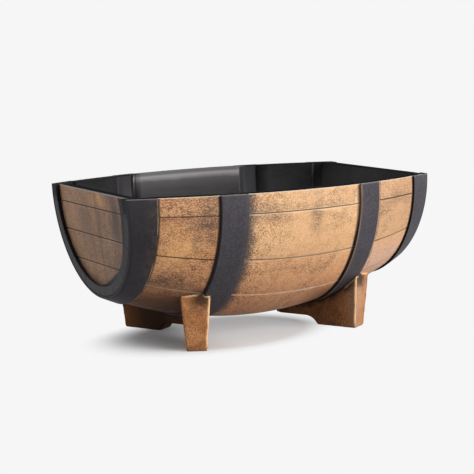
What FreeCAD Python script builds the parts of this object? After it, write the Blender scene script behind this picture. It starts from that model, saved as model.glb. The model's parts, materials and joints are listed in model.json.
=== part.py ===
import FreeCAD
import Part
import math
import os

import Sketcher

# Half barrel planter: a barrel sawn lengthwise, lying on four splayed bracket feet.
# The barrel's axis runs along X. The planter stands on z = 0, centred on x = 0 and y = 0,
# with its front at -Y. Ten staves, four hoops and two boarded heads make the shell.
# A black tub with channels behind the hoops lies loose in the shell and lifts straight out.

V = FreeCAD.Vector
doc = FreeCAD.newDocument("half_barrel_planter")
sheet = doc.addObject("Spreadsheet::Sheet", "Sizes")

# Driving dimensions, in millimetres and degrees
SIZES = (
    ("barrel_length", "600", "over the two ends at the rim"),
    ("middle_radius", "225.5", "outside of the staves at mid length"),
    ("end_radius", "153.5", "outside of the staves at the ends"),
    ("axis_drop", "19", "barrel axis below the rim"),
    ("keel_height", "26.5", "lowest point of the staves above the floor"),
    ("end_lean", "5.6", "ends lean in towards the keel, degrees"),
    ("stave_pitch", "21.5", "angle from seam to seam, degrees"),
    ("stave_thick", "15", "thickness of the staves"),
    ("seam_gap", "0.4", "open joint between boards"),
    ("hoop_width", "46.5", "width of every hoop"),
    ("hoop_thick", "4", "thickness of every hoop"),
    ("hoop_centre", "=barrel_length * 133 / 600", "middle hoops from mid length"),
    ("head_recess", "8", "heads behind the barrel's ends"),
    ("head_thick", "12", "thickness of the head boards"),
    ("top_board", "30.1", "height of the uppermost head board"),
    ("head_board", "49.2", "height of the other head boards"),
    ("shell_fit", "0.2", "gap between pieces that are fixed together"),
    ("liner_wall", "3", "wall of the tub"),
    ("channel_depth", "5", "depth of the tub's channels behind the hoops"),
    ("liner_slip", "0.5", "gap that lets the tub lift past the rim"),
    ("liner_seat", "0.3", "gap under the tub at the keel"),
    ("drain_bore", "12", "diameter of the drain holes"),
    ("drain_along", "45", "drain holes from mid length"),
    ("drain_across", "22", "drain holes from the keel seam"),
    ("foot_along", "=hoop_centre + 14.7", "middle of a foot from mid length"),
    ("foot_across", "95.6", "middle of a foot from the centre line"),
    ("foot_turn", "28.7", "splay of a foot about the vertical, degrees"),
    ("foot_length", "77.5", "footprint along the foot"),
    ("foot_width", "35.4", "footprint across the foot"),
    ("foot_flare", "4.7", "sides of a foot widen upward, degrees"),
    ("toe_lean", "4.3", "outer end of a foot leans out, degrees"),
    ("web_height", "15.3", "underside of the web above the floor"),
    ("cove_radius", "26", "hollow between foot and web"),
    ("hoop_shank", "2.5", "diameter of the hoop screws"),
    ("hoop_head", "5", "diameter of their heads"),
    ("hoop_head_thick", "1.5", "thickness of their heads"),
    ("hoop_skin", "1", "hoop left over the points of its screws"),
    ("hoop_edge", "5", "screws from the inner edge of an end hoop"),
    ("screw_shank", "4", "diameter of the wood screws"),
    ("screw_head", "8", "diameter of their heads"),
    ("screw_head_thick", "3", "thickness of their heads"),
    ("head_bite", "17", "head screws reach into the head boards"),
    ("foot_bite", "24", "foot screws reach into the feet"),
    ("foot_screw_out", "2", "outer foot screw from the middle of the foot"),
    ("foot_screw_in", "24", "inner foot screw from the middle of the foot"),
    ("bore_fit", "0.1", "gap round every screw"),
)

for row, (alias, number, meaning) in enumerate(SIZES, start=1):
    sheet.set(f"A{row}", alias)
    sheet.set(f"B{row}", number)
    sheet.set(f"C{row}", meaning)
    sheet.setAlias(f"B{row}", alias)
doc.recompute()


def size(name):
    """Number in one cell of the sheet."""
    return float(getattr(sheet, name))


def value(expression):
    """Number that an expression over the sheet comes to."""
    result = sheet.evalExpression(expression)
    return float(getattr(result, "Value", result))


# Expressions that several pieces share
SAG = "(Sizes.middle_radius - Sizes.end_radius)"
BOW = f"(((Sizes.barrel_length / 2) ^ 2 + {SAG} ^ 2) / (2 * {SAG}))"
AXIS = "(Sizes.keel_height + Sizes.middle_radius)"
RIM = f"({AXIS} + Sizes.axis_drop)"
SPAN = "(3 * (Sizes.middle_radius + Sizes.hoop_thick))"
HALF = "(Sizes.barrel_length / 2)"
HEAD_BACK = "(Sizes.head_recess + Sizes.head_thick)"
LINER_END = f"({HEAD_BACK} + Sizes.liner_slip)"
INNER_END = "(Sizes.end_radius - Sizes.stave_thick)"
LINER_GAP = f"({INNER_END} - sqrt({INNER_END} ^ 2 - Sizes.axis_drop ^ 2) + Sizes.liner_slip)"
LINER_SKIN = f"(0 - Sizes.stave_thick - {LINER_GAP})"
END_HOOP = f"({HALF} - Sizes.hoop_width)"
HOOP_NEAR = "(Sizes.hoop_centre - Sizes.hoop_width / 2)"
HOOP_FAR = "(Sizes.hoop_centre + Sizes.hoop_width / 2)"
PAST_END = f"({HALF} + Sizes.hoop_width)"


# Bodies and sketches
def plane_of(body, role):
    return [plane for plane in body.Origin.OriginFeatures if plane.Role == role][0]


def new_body(name, at_axis=True):
    """A body whose own origin lies on the barrel's axis, or on the floor."""
    body = doc.addObject("PartDesign::Body", name)
    if at_axis:
        body.setExpression("Placement.Base.z", AXIS)
    return body


def new_sketch(body, name, role="XZ_Plane"):
    sketch = body.newObject("Sketcher::SketchObject", name)
    sketch.AttachmentSupport = (plane_of(body, role), [""])
    sketch.MapMode = "FlatFace"
    return sketch


def drive(sketch, kind, *places, by):
    """Add one dimension to a sketch and bind it to the sheet."""
    index = sketch.addConstraint(Sketcher.Constraint(kind, *places, abs(value(by))))
    sketch.setExpression(f"Constraints[{index}]", by)


def drive_across(sketch, geometry, point, by):
    """Bind a point's distance from the sketch's vertical axis, on either side of it."""
    if value(by) < 0:
        drive(sketch, "DistanceX", geometry, point, -1, 1, by=f"0 - ({by})")
    else:
        drive(sketch, "DistanceX", -1, 1, geometry, point, by=by)


def drive_up(sketch, geometry, point, by):
    drive(sketch, "DistanceY", -1, 1, geometry, point, by=by)


def join(sketch, first, first_end, second, second_end):
    sketch.addConstraint(Sketcher.Constraint("Coincident", first, first_end, second, second_end))


def line(sketch, start, end):
    return sketch.addGeometry(Part.LineSegment(V(*start, 0), V(*end, 0)), False)


def bow_height(along, lift="0"):
    """Radius of the bowed barrel surface, lifted by some offset, at a distance from mid length."""
    bow = value(BOW)
    return size("middle_radius") - bow + math.sqrt((bow + value(lift)) ** 2 - along ** 2)


def add_bow(sketch, start, end, lift):
    """Arc along the barrel's bowed surface, from its right end to its left end."""
    low = size("middle_radius") - value(BOW)
    left, right = value(start), value(end)
    first = math.atan2(bow_height(right, lift) - low, right)
    last = math.atan2(bow_height(left, lift) - low, left)
    circle = Part.Circle(V(0, low, 0), V(0, 0, 1), value(f"{BOW} + {lift}"))
    arc = sketch.addGeometry(Part.ArcOfCircle(circle, first, last), False)
    sketch.addConstraint(Sketcher.Constraint("PointOnObject", arc, 3, -2))
    drive(sketch, "DistanceY", arc, 3, -1, 1, by=f"{BOW} - Sizes.middle_radius")
    drive(sketch, "Radius", arc, by=f"{BOW} + {lift}")
    return arc


def add_strip(sketch, start, end, outer, inner):
    """Closed strip between two bowed surfaces."""
    top = add_bow(sketch, start, end, outer)
    low = add_bow(sketch, start, end, inner)
    left, right = value(start), value(end)
    far = line(sketch, (right, bow_height(right, outer)), (right, bow_height(right, inner)))
    near = line(sketch, (left, bow_height(left, inner)), (left, bow_height(left, outer)))
    join(sketch, top, 1, far, 1)
    join(sketch, far, 2, low, 1)
    join(sketch, low, 2, near, 1)
    join(sketch, near, 2, top, 2)
    for side, place in ((far, end), (near, start)):
        sketch.addConstraint(Sketcher.Constraint("Vertical", side))
        drive_across(sketch, side, 1, place)


def add_core(sketch, start, end, outer):
    """Closed strip from the barrel's axis out to a bowed surface."""
    top = add_bow(sketch, start, end, outer)
    left, right = value(start), value(end)
    far = line(sketch, (right, bow_height(right, outer)), (right, 0))
    base = line(sketch, (right, 0), (left, 0))
    near = line(sketch, (left, 0), (left, bow_height(left, outer)))
    join(sketch, top, 1, far, 1)
    join(sketch, far, 2, base, 1)
    join(sketch, base, 2, near, 1)
    join(sketch, near, 2, top, 2)
    sketch.addConstraint(Sketcher.Constraint("PointOnObject", base, 1, -1))
    sketch.addConstraint(Sketcher.Constraint("PointOnObject", base, 2, -1))
    for side, place in ((far, end), (near, start)):
        sketch.addConstraint(Sketcher.Constraint("Vertical", side))
        drive_across(sketch, side, 1, place)


def turn_about_axis(body, sketch, name, angle="360"):
    """Revolve a sketch about the barrel's axis, equally to both sides of its plane."""
    feature = body.newObject("PartDesign::Revolution", name)
    feature.Profile = sketch
    feature.ReferenceAxis = (sketch, ["H_Axis"])
    feature.Midplane = True
    feature.setExpression("Angle", angle)
    return feature


def swing(body, angle):
    """Turn a body about the barrel's axis: 90 faces the front, 180 the floor, 270 the back."""
    body.Placement = FreeCAD.Placement(V(0, 0, value(AXIS)), FreeCAD.Rotation(V(1, 0, 0), value(angle)))
    body.setExpression("Placement.Base.z", AXIS)
    body.setExpression("Placement.Rotation.Angle", angle)


# Booleans between document objects
def common(name, *shapes):
    result = doc.addObject("Part::MultiCommon", name)
    result.Shapes = list(shapes)
    return result


def cut(name, base, tool):
    result = doc.addObject("Part::Cut", name)
    result.Base = base
    result.Tool = tool
    return result


# Wedge-sided blocks that follow the rim and the leaning ends
def leaning_block(name, inset, above="0"):
    body = new_body(name, at_axis=False)
    sketch = new_sketch(body, f"{name}_side")
    top = f"({RIM} + {above})"
    foot_half = f"({HALF} - ({inset}) / cos(Sizes.end_lean) - {RIM} * tan(Sizes.end_lean))"
    top_half = f"({foot_half} + {top} * tan(Sizes.end_lean))"
    low, high, up = value(foot_half), value(top_half), value(top)
    floor = line(sketch, (-low, 0), (low, 0))
    right = line(sketch, (low, 0), (high, up))
    rim = line(sketch, (high, up), (-high, up))
    left = line(sketch, (-high, up), (-low, 0))
    for first, second in ((floor, right), (right, rim), (rim, left), (left, floor)):
        join(sketch, first, 2, second, 1)
    sketch.addConstraint(Sketcher.Constraint("Horizontal", rim))
    sketch.addConstraint(Sketcher.Constraint("PointOnObject", floor, 1, -1))
    sketch.addConstraint(Sketcher.Constraint("PointOnObject", floor, 2, -1))
    drive_across(sketch, floor, 1, f"0 - {foot_half}")
    drive_across(sketch, floor, 2, foot_half)
    drive_across(sketch, rim, 1, top_half)
    drive_across(sketch, rim, 2, f"0 - {top_half}")
    drive_up(sketch, rim, 1, top)
    pad = body.newObject("PartDesign::Pad", f"{name}_pad")
    pad.Profile = sketch
    pad.SideType = "Symmetric"
    pad.setExpression("Length", SPAN)
    return body


# Forms of revolution about the barrel's axis, with bands raised behind the hoops
def barrel_form(name, skin, band=None, slack="0"):
    body = new_body(name)
    sketch = new_sketch(body, f"{name}_skin")
    add_core(sketch, f"0 - {PAST_END}", PAST_END, skin)
    turn_about_axis(body, sketch, f"{name}_turned")
    if band is not None:
        raised = new_sketch(body, f"{name}_bands")
        add_core(raised, f"0 - {PAST_END}", f"0 - ({END_HOOP} - {slack})", band)
        add_core(raised, f"0 - ({HOOP_FAR} + {slack})", f"0 - ({HOOP_NEAR} - {slack})", band)
        add_core(raised, f"{HOOP_NEAR} - {slack}", f"{HOOP_FAR} + {slack}", band)
        add_core(raised, f"{END_HOOP} - {slack}", PAST_END, band)
        turn_about_axis(body, raised, f"{name}_raised")
    return body


# Screws: one turned pattern each, and a wider one for their bores
def fastener(name, shank, head, head_thick, length, grow="0", counterbore="0"):
    """Turned about Z: head top at z = 0, point at the bottom, with room above the head in a bore."""
    body = new_body(name, at_axis=False)
    sketch = new_sketch(body, f"{name}_outline")
    reach = f"({length} + {grow})"
    under = f"({head_thick} + {grow})"
    over = f"({counterbore})"
    thin = f"({shank} / 2 + {grow})"
    wide = f"({head} / 2 + {grow})"
    corners = (
        ("0", f"0 - {reach}"), (thin, f"0 - {reach}"), (thin, f"0 - {under}"),
        (wide, f"0 - {under}"), (wide, over), ("0", over),
    )
    spots = [(value(across), value(up)) for across, up in corners]
    edges = [line(sketch, spots[i], spots[(i + 1) % len(spots)]) for i in range(len(spots))]
    for i in range(len(edges)):
        join(sketch, edges[i], 2, edges[(i + 1) % len(edges)], 1)
    for i in (0, 2, 4):
        sketch.addConstraint(Sketcher.Constraint("Horizontal", edges[i]))
    for i in (1, 3):
        sketch.addConstraint(Sketcher.Constraint("Vertical", edges[i]))
    for end in (1, 2):
        sketch.addConstraint(Sketcher.Constraint("PointOnObject", edges[5], end, -2))
    drive_across(sketch, edges[1], 1, thin)
    drive_across(sketch, edges[3], 1, wide)
    drive(sketch, "DistanceY", edges[0], 1, edges[5], 1, by=f"{reach} + {over}")
    drive(sketch, "DistanceY", edges[2], 1, edges[4], 1, by=f"{under} + {over}")
    if value(over) > 0:
        drive_up(sketch, edges[4], 1, over)
    else:
        sketch.addConstraint(Sketcher.Constraint("PointOnObject", edges[4], 1, -1))
    feature = body.newObject("PartDesign::Revolution", f"{name}_turned")
    feature.Profile = sketch
    feature.ReferenceAxis = (sketch, ["V_Axis"])
    return body


def scatter(name, pattern, places):
    """Separate copies of one pattern at a list of placements."""
    copies = []
    for place in places:
        copy = pattern.Shape.copy()
        copy.Placement = place.multiply(copy.Placement)
        copies.append(copy)
    group = doc.addObject("Part::Feature", name)
    group.Shape = Part.makeCompound(copies)
    return group


def on_spoke(along, angle, radius, turn):
    """Placement on a spoke of the barrel, its Z axis outward and then turned about the tangent."""
    spoke = FreeCAD.Placement(V(0, 0, value(AXIS)), FreeCAD.Rotation(V(1, 0, 0), angle))
    return spoke.multiply(FreeCAD.Placement(V(along, 0, radius), FreeCAD.Rotation(V(0, 1, 0), turn)))


def from_inside(along, angle):
    """Square to the bowed floor of a channel, with the head flush and the point outward."""
    slope = math.degrees(math.asin(along / value(f"{BOW} + {SEAT_BAND}")))
    floor = bow_height(along, f"{SEAT_BAND} + Sizes.bore_fit")
    return on_spoke(along, angle, floor, slope + 180)


SEAT_BAND = "(Sizes.channel_depth - Sizes.stave_thick)"
THROUGH = "(Sizes.stave_thick - Sizes.channel_depth + Sizes.hoop_thick)"
HOOP_SCREW = ("Sizes.hoop_shank", "Sizes.hoop_head", "Sizes.hoop_head_thick",
              f"({THROUGH} - Sizes.hoop_skin)")
HEAD_SCREW = ("Sizes.screw_shank", "Sizes.screw_head", "Sizes.screw_head_thick",
              "(Sizes.stave_thick + Sizes.head_bite)")
FOOT_SCREW = ("Sizes.screw_shank", "Sizes.screw_head", "Sizes.screw_head_thick",
              f"({THROUGH} + Sizes.foot_bite)")
hoop_screw = fastener("hoop_screw", *HOOP_SCREW)
hoop_room = fastener("hoop_room", *HOOP_SCREW, "Sizes.bore_fit", "Sizes.stave_thick")
head_screw = fastener("head_screw", *HEAD_SCREW)
head_room = fastener("head_room", *HEAD_SCREW, "Sizes.bore_fit", "Sizes.stave_thick")
foot_screw = fastener("foot_screw", *FOOT_SCREW)
foot_room = fastener("foot_room", *FOOT_SCREW, "Sizes.bore_fit", "Sizes.stave_thick")
barrel_block = leaning_block("barrel_block", "0")
doc.recompute()

# Angles of the seams and of the middle of every stave, round the axis from the top
pitch = size("stave_pitch")
lean = math.radians(size("end_lean"))
rim_height = value(RIM)
axis_height = value(AXIS)
FULL_STAVES = ("front_upper", "front_side", "front_lower", "front_keel",
               "back_keel", "back_lower", "back_side", "back_upper")
half_count = len(FULL_STAVES) / 2


def stave_angles(along):
    """Middle of each full stave, and of the narrow rim staves where they show at this place."""
    angles = [180 + (index + 0.5 - half_count) * pitch for index in range(len(FULL_STAVES))]
    rim_angle = 90 - math.degrees(math.asin(size("axis_drop") / bow_height(along)))
    rim_stave = (rim_angle + 180 - half_count * pitch) / 2
    return angles + [rim_stave, 360 - rim_stave]


# Hoop screws: from inside, through the middle of every stave into each hoop
hoop_places = []
for along in (size("hoop_centre"), value(END_HOOP) + size("hoop_edge")):
    for side in (-1, 1):
        hoop_places += [from_inside(side * along, angle) for angle in stave_angles(along)]

# Head screws: from under the end hoops, through a stave into each end of every head board
seams_down = [0, size("top_board")]
seams_down += [size("top_board") + size("head_board") * count for count in (1, 2)]


def head_middle(height):
    """Half way through a head's thickness, at a height above the floor."""
    back = (size("head_recess") + size("head_thick") / 2) / math.cos(lean)
    return value(HALF) - (rim_height - height) * math.tan(lean) - back


last_seam = rim_height - seams_down[-1] * math.cos(lean)
head_floor = axis_height - bow_height(head_middle(last_seam), "0 - Sizes.stave_thick")
seams_down.append((rim_height - head_floor) / math.cos(lean))
head_places = []
for upper, lower in zip(seams_down, seams_down[1:]):
    height = rim_height - (upper + lower) / 2 * math.cos(lean)
    along = head_middle(height)
    fall = math.degrees(math.asin((axis_height - height) / bow_height(along, "0 - Sizes.stave_thick")))
    slope = along / math.sqrt(value(BOW) ** 2 - along ** 2)
    sunk = bow_height(along) - slope * size("screw_head") / 2 - size("bore_fit")
    for side in (-1, 1):
        for angle in (90 + fall, 270 - fall):
            head_places.append(on_spoke(side * along, angle, sunk, 0))

# Foot screws: from inside the shell, out through a stave and a hoop into the feet
turn = math.radians(size("foot_turn"))
foot_places = []
for reach in (size("foot_screw_out"), 0 - size("foot_screw_in")):
    along = size("foot_along") + reach * math.sin(turn)
    across = size("foot_across") + reach * math.cos(turn)
    tilt = math.degrees(math.asin(across / bow_height(along)))
    for side in (-1, 1):
        foot_places += [from_inside(side * along, angle) for angle in (180 - tilt, 180 + tilt)]

hoop_screws = scatter("hoop_screws", hoop_screw, hoop_places)
head_screws = scatter("head_screws", head_screw, head_places)
foot_screws = scatter("foot_screws", foot_screw, foot_places)
hoop_bores = scatter("hoop_bores", hoop_room, hoop_places)
head_bores = scatter("head_bores", head_room, head_places)
foot_bores = scatter("foot_bores", foot_room, foot_places)

# Drain holes through the keel staves and the tub
drains = []
for side in (-1, 1):
    for across in (-1, 1):
        drain = doc.addObject("Part::Cylinder", "drain_bore")
        drain.setExpression("Radius", "Sizes.drain_bore / 2")
        drain.setExpression("Height", AXIS)
        drain.setExpression("Placement.Base.x", f"{side} * Sizes.drain_along")
        drain.setExpression("Placement.Base.y", f"{across} * Sizes.drain_across")
        drains.append(drain)
drain_bores = doc.addObject("Part::Compound", "drain_bores")
drain_bores.Links = drains

pieces = []


def keep(piece, node):
    piece.Label = node
    pieces.append(piece)


# Staves: bowed strips turned about the axis, trimmed at the rim and at the leaning ends,
# with a seat inside for the tub and its channels
seat_form = barrel_form("seat_form", "(0 - Sizes.stave_thick)", SEAT_BAND, "Sizes.liner_slip")
seat_block = leaning_block("seat_block", HEAD_BACK, "Sizes.stave_thick")
liner_seat = common("liner_seat", seat_form, seat_block)
SEAM_ANGLE = "(Sizes.seam_gap / Sizes.middle_radius * 180 / pi)"


def stave(node, angle, spread):
    body = new_body(f"{node}_blank")
    sketch = new_sketch(body, f"{node}_profile")
    add_strip(sketch, f"0 - {PAST_END}", PAST_END, "0", "(0 - Sizes.stave_thick)")
    turn_about_axis(body, sketch, f"{node}_turned", f"{spread} - {SEAM_ANGLE}")
    swing(body, angle)
    trimmed = common(f"{node}_trimmed", body, barrel_block)
    seated = cut(f"{node}_seated", trimmed, liner_seat)
    hooped = cut(f"{node}_hooped", seated, hoop_bores)
    headed = cut(f"{node}_headed", hooped, head_bores)
    footed = cut(f"{node}_footed", headed, foot_bores)
    if "keel" in node:
        footed = cut(f"{node}_drained", footed, drain_bores)
    keep(footed, f"stave_{node}")


RIM_SPREAD = f"(120 - {half_count} * Sizes.stave_pitch)"
stave("front_rim", f"60 + {RIM_SPREAD} / 2", RIM_SPREAD)
for index, node in enumerate(FULL_STAVES):
    stave(node, f"180 + {index + 0.5 - half_count} * Sizes.stave_pitch", "Sizes.stave_pitch")
stave("back_rim", f"300 - {RIM_SPREAD} / 2", RIM_SPREAD)


# Hoops: flat bands bowed with the staves, open at the rim
def hoop(node, start, end):
    body = new_body(f"{node}_band")
    sketch = new_sketch(body, f"{node}_profile")
    add_strip(sketch, start, end, "Sizes.hoop_thick", "Sizes.shell_fit")
    turn_about_axis(body, sketch, f"{node}_turned")
    trimmed = common(f"{node}_trimmed", body, barrel_block)
    screwed = cut(f"{node}_screwed", trimmed, hoop_bores)
    keep(cut(f"{node}_footed", screwed, foot_bores), node)


hoop("hoop_left_end", f"0 - {PAST_END}", f"0 - {END_HOOP}")
hoop("hoop_left_middle", f"0 - {HOOP_FAR}", f"0 - {HOOP_NEAR}")
hoop("hoop_right_middle", HOOP_NEAR, HOOP_FAR)
hoop("hoop_right_end", END_HOOP, PAST_END)

# Heads: leaning boards laid edge to edge, shaped to the inside of the staves
head_form = barrel_form("head_form", "(0 - Sizes.stave_thick - Sizes.shell_fit)")


def head_board(node, side, above, depth, first):
    """One board; its upper edge lies some way down the leaning head from the rim."""
    board = doc.addObject("Part::Box", f"{node}_blank")
    gap = "0" if first else "Sizes.seam_gap / 2"
    upper = f"({above} + {gap})"
    lower = f"({above} + {depth} - Sizes.seam_gap / 2)"
    outward = f"({HALF} - {lower} * sin(Sizes.end_lean) - Sizes.head_recess * cos(Sizes.end_lean))"
    upward = f"({RIM} - {lower} * cos(Sizes.end_lean) + Sizes.head_recess * sin(Sizes.end_lean))"
    back_x = f"({outward} - Sizes.head_thick * cos(Sizes.end_lean))"
    back_z = f"({upward} + Sizes.head_thick * sin(Sizes.end_lean))"
    board.Placement = FreeCAD.Placement(V(), FreeCAD.Rotation(V(0, side, 0), size("end_lean")))
    board.setExpression("Length", "Sizes.head_thick")
    board.setExpression("Width", SPAN)
    board.setExpression("Height", f"{lower} - {upper}")
    board.setExpression("Placement.Base.x", back_x if side > 0 else f"0 - {outward}")
    board.setExpression("Placement.Base.y", f"0 - {SPAN} / 2")
    board.setExpression("Placement.Base.z", back_z if side > 0 else upward)
    board.setExpression("Placement.Rotation.Angle", "Sizes.end_lean")
    shaped = common(f"{node}_shaped", board, head_form, barrel_block)
    keep(cut(f"{node}_screwed", shaped, head_bores), node)


for side, end in ((-1, "left"), (1, "right")):
    head_board(f"head_{end}_board_1", side, "0 - Sizes.head_recess", "Sizes.top_board + Sizes.head_recess", True)
    head_board(f"head_{end}_board_2", side, "Sizes.top_board", "Sizes.head_board", False)
    head_board(f"head_{end}_board_3", side, "Sizes.top_board + Sizes.head_board", "Sizes.head_board", False)
    head_board(f"head_{end}_board_4", side, "Sizes.top_board + 2 * Sizes.head_board", AXIS, False)

# Tub: a thin shell inside the staves and heads, lowered until it lies on the keel staves
LINER_BAND = f"({LINER_SKIN} + Sizes.channel_depth)"
LINER_SINK = f"({LINER_GAP} - Sizes.liner_seat)"
tub_form = barrel_form("tub_form", LINER_SKIN, LINER_BAND)
hollow_form = barrel_form("hollow_form", f"({LINER_SKIN} - Sizes.liner_wall)",
                          f"({LINER_BAND} - Sizes.liner_wall)", "(0 - Sizes.liner_wall)")
for form in (tub_form, hollow_form):
    form.setExpression("Placement.Base.z", f"{AXIS} - {LINER_SINK}")
tub_block = leaning_block("tub_block", LINER_END)
hollow_block = leaning_block("hollow_block", f"{LINER_END} + Sizes.liner_wall", "Sizes.stave_thick")
tub = common("tub", tub_form, tub_block)
hollow = common("hollow", hollow_form, hollow_block)
open_tub = cut("open_tub", tub, hollow)
drained_tub = cut("drained_tub", open_tub, drain_bores)
CORNER = "(Sizes.barrel_length / 3)"


def tub_piece(node, start, length, side, width):
    """The tub is one moulding, drawn as a middle and four corners that meet face to face."""
    room = doc.addObject("Part::Box", f"{node}_room")
    room.setExpression("Length", length)
    room.setExpression("Width", width)
    room.setExpression("Height", SPAN)
    room.setExpression("Placement.Base.x", start)
    room.setExpression("Placement.Base.y", side)
    keep(common(f"{node}_shaped", drained_tub, room), node)


tub_piece("liner_middle", f"0 - {CORNER}", f"2 * {CORNER}", f"0 - {SPAN} / 2", SPAN)
for end, start in (("left", f"0 - {HALF}"), ("right", CORNER)):
    for face, side in (("front", f"0 - {SPAN}"), ("back", "0")):
        tub_piece(f"liner_{face}_{end}", start, f"{HALF} - {CORNER}", side, SPAN)

# Feet: splayed brackets whose webs meet on the centre line, scribed to the hull and its hoops
hull_form = barrel_form("hull_form", "Sizes.shell_fit", "(Sizes.hoop_thick + Sizes.shell_fit)",
                        "Sizes.shell_fit")
COVE_RUN = "sqrt(2 * Sizes.cove_radius * Sizes.web_height - Sizes.web_height ^ 2)"
TOE = "(Sizes.foot_length / 2)"
WEB_END = "(Sizes.foot_across / cos(Sizes.foot_turn) + 2 * Sizes.foot_width)"
TOE_TOP = f"({TOE} + {AXIS} * tan(Sizes.toe_lean))"
FLARE_TOP = f"(Sizes.foot_width / 2 + {AXIS} * tan(Sizes.foot_flare))"


def foot_side(body, name):
    """Side outline: sole, leaning toe, and a cove up to the flat underside of the web."""
    sketch = new_sketch(body, name)
    top, toe, toe_top = axis_height, value(TOE), value(TOE_TOP)
    web, end, run = size("web_height"), value(WEB_END), value(COVE_RUN)
    radius = size("cove_radius")
    sole = line(sketch, (-toe, 0), (toe, 0))
    front = line(sketch, (toe, 0), (toe_top, top))
    upper = line(sketch, (toe_top, top), (-end, top))
    inner = line(sketch, (-end, top), (-end, web))
    under = line(sketch, (-end, web), (-toe - run, web))
    circle = Part.Circle(V(-toe - run, web - radius, 0), V(0, 0, 1), radius)
    start = math.atan2(radius - web, run)
    cove = sketch.addGeometry(Part.ArcOfCircle(circle, start, math.pi / 2), False)
    for first, second in ((sole, front), (front, upper), (upper, inner), (inner, under)):
        join(sketch, first, 2, second, 1)
    join(sketch, under, 2, cove, 2)
    join(sketch, cove, 1, sole, 1)
    for level in (upper, under):
        sketch.addConstraint(Sketcher.Constraint("Horizontal", level))
    sketch.addConstraint(Sketcher.Constraint("Vertical", inner))
    for tip in (1, 2):
        sketch.addConstraint(Sketcher.Constraint("PointOnObject", sole, tip, -1))
    drive_across(sketch, sole, 1, f"0 - {TOE}")
    drive_across(sketch, sole, 2, TOE)
    drive_across(sketch, front, 2, TOE_TOP)
    drive_across(sketch, inner, 1, f"0 - {WEB_END}")
    drive_across(sketch, cove, 3, f"0 - ({TOE} + {COVE_RUN})")
    drive_across(sketch, cove, 2, f"0 - ({TOE} + {COVE_RUN})")
    drive_up(sketch, upper, 1, AXIS)
    drive_up(sketch, under, 1, "Sizes.web_height")
    return sketch


def foot_section(body, name):
    """Cross-section that widens upward from the sole."""
    sketch = new_sketch(body, name, "YZ_Plane")
    low, high, top = size("foot_width") / 2, value(FLARE_TOP), axis_height
    sole = line(sketch, (-low, 0), (low, 0))
    right = line(sketch, (low, 0), (high, top))
    upper = line(sketch, (high, top), (-high, top))
    left = line(sketch, (-high, top), (-low, 0))
    for first, second in ((sole, right), (right, upper), (upper, left), (left, sole)):
        join(sketch, first, 2, second, 1)
    for tip in (1, 2):
        sketch.addConstraint(Sketcher.Constraint("PointOnObject", sole, tip, -1))
    sketch.addConstraint(Sketcher.Constraint("Horizontal", upper))
    drive_across(sketch, sole, 1, "0 - Sizes.foot_width / 2")
    drive_across(sketch, sole, 2, "Sizes.foot_width / 2")
    drive_across(sketch, upper, 1, FLARE_TOP)
    drive_across(sketch, upper, 2, f"0 - {FLARE_TOP}")
    drive_up(sketch, upper, 1, AXIS)
    return sketch


def foot(node, side, face):
    """One foot; side is -1 left or 1 right, face is -1 front or 1 back."""
    blanks = []
    heading = f"{face} * (90 - {side} * Sizes.foot_turn)"
    for shape, outline in (("side", foot_side), ("section", foot_section)):
        body = new_body(f"{node}_{shape}", at_axis=False)
        pad = body.newObject("PartDesign::Pad", f"{node}_{shape}_pad")
        pad.Profile = outline(body, f"{node}_{shape}_outline")
        pad.SideType = "Symmetric"
        pad.setExpression("Length", f"2 * {FLARE_TOP}" if shape == "side" else f"2 * ({WEB_END} + {TOE_TOP})")
        body.Placement = FreeCAD.Placement(V(), FreeCAD.Rotation(V(0, 0, face), abs(value(heading))))
        body.setExpression("Placement.Base.x", f"{side} * Sizes.foot_along")
        body.setExpression("Placement.Base.y", f"{face} * Sizes.foot_across")
        body.setExpression("Placement.Rotation.Angle", f"{face} * ({heading})")
        blanks.append(body)
    half = doc.addObject("Part::Box", f"{node}_half")
    half.setExpression("Length", "Sizes.barrel_length")
    half.setExpression("Width", SPAN)
    half.setExpression("Height", AXIS)
    half.setExpression("Placement.Base.x", f"0 - {HALF}")
    half.setExpression("Placement.Base.y", "Sizes.seam_gap / 2" if face > 0 else f"0 - {SPAN} - Sizes.seam_gap / 2")
    mitred = common(f"{node}_mitred", *blanks, half)
    scribed = cut(f"{node}_scribed", mitred, hull_form)
    keep(cut(f"{node}_bored", scribed, foot_bores), node)


for face, front in ((-1, "front"), (1, "back")):
    for side, end in ((-1, "left"), (1, "right")):
        foot(f"foot_{front}_{end}", side, face)

keep(hoop_screws, "hoop_screws")
keep(head_screws, "head_screws")
keep(foot_screws, "foot_screws")

# Every object must be sound before a file is written
doc.recompute()
faults = [item.Name for item in doc.Objects if "Invalid" in item.State or "Error" in item.State]
faults += [item.Label for item in pieces if item.Shape.isNull() or not item.Shape.isValid()]
if faults:
    raise SystemExit(f"unsound objects: {faults}")

os.makedirs("parts", exist_ok=True)
for item in pieces:
    box = item.Shape.BoundBox
    spread = f"{box.XLength:.1f} x {box.YLength:.1f} x {box.ZLength:.1f}"
    print(f"{item.Label}: {len(item.Shape.Solids)} solid, {item.Shape.Volume / 1000:.1f} cm3, {spread} mm")
    item.Shape.exportStep(f"parts/{item.Label}.step")
print(f"{len(pieces)} pieces")
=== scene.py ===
# %% [markdown]
# # A half barrel planter
# The planter is a small barrel sawn in two lengthwise. Ten bowed staves, four black hoops and two
# boarded heads make its shell, four splayed feet carry it, and a black tub lies loose inside.
# The sizes come from the CAD frame, so the first step loads that frame and keeps its box.
# Everything that follows only dresses the frame: no CAD piece is moved.

# %% Load the frame
import json
import math

import bmesh
import bpy
from mathutils import Matrix, Vector
from mathutils.geometry import intersect_point_line

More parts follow.
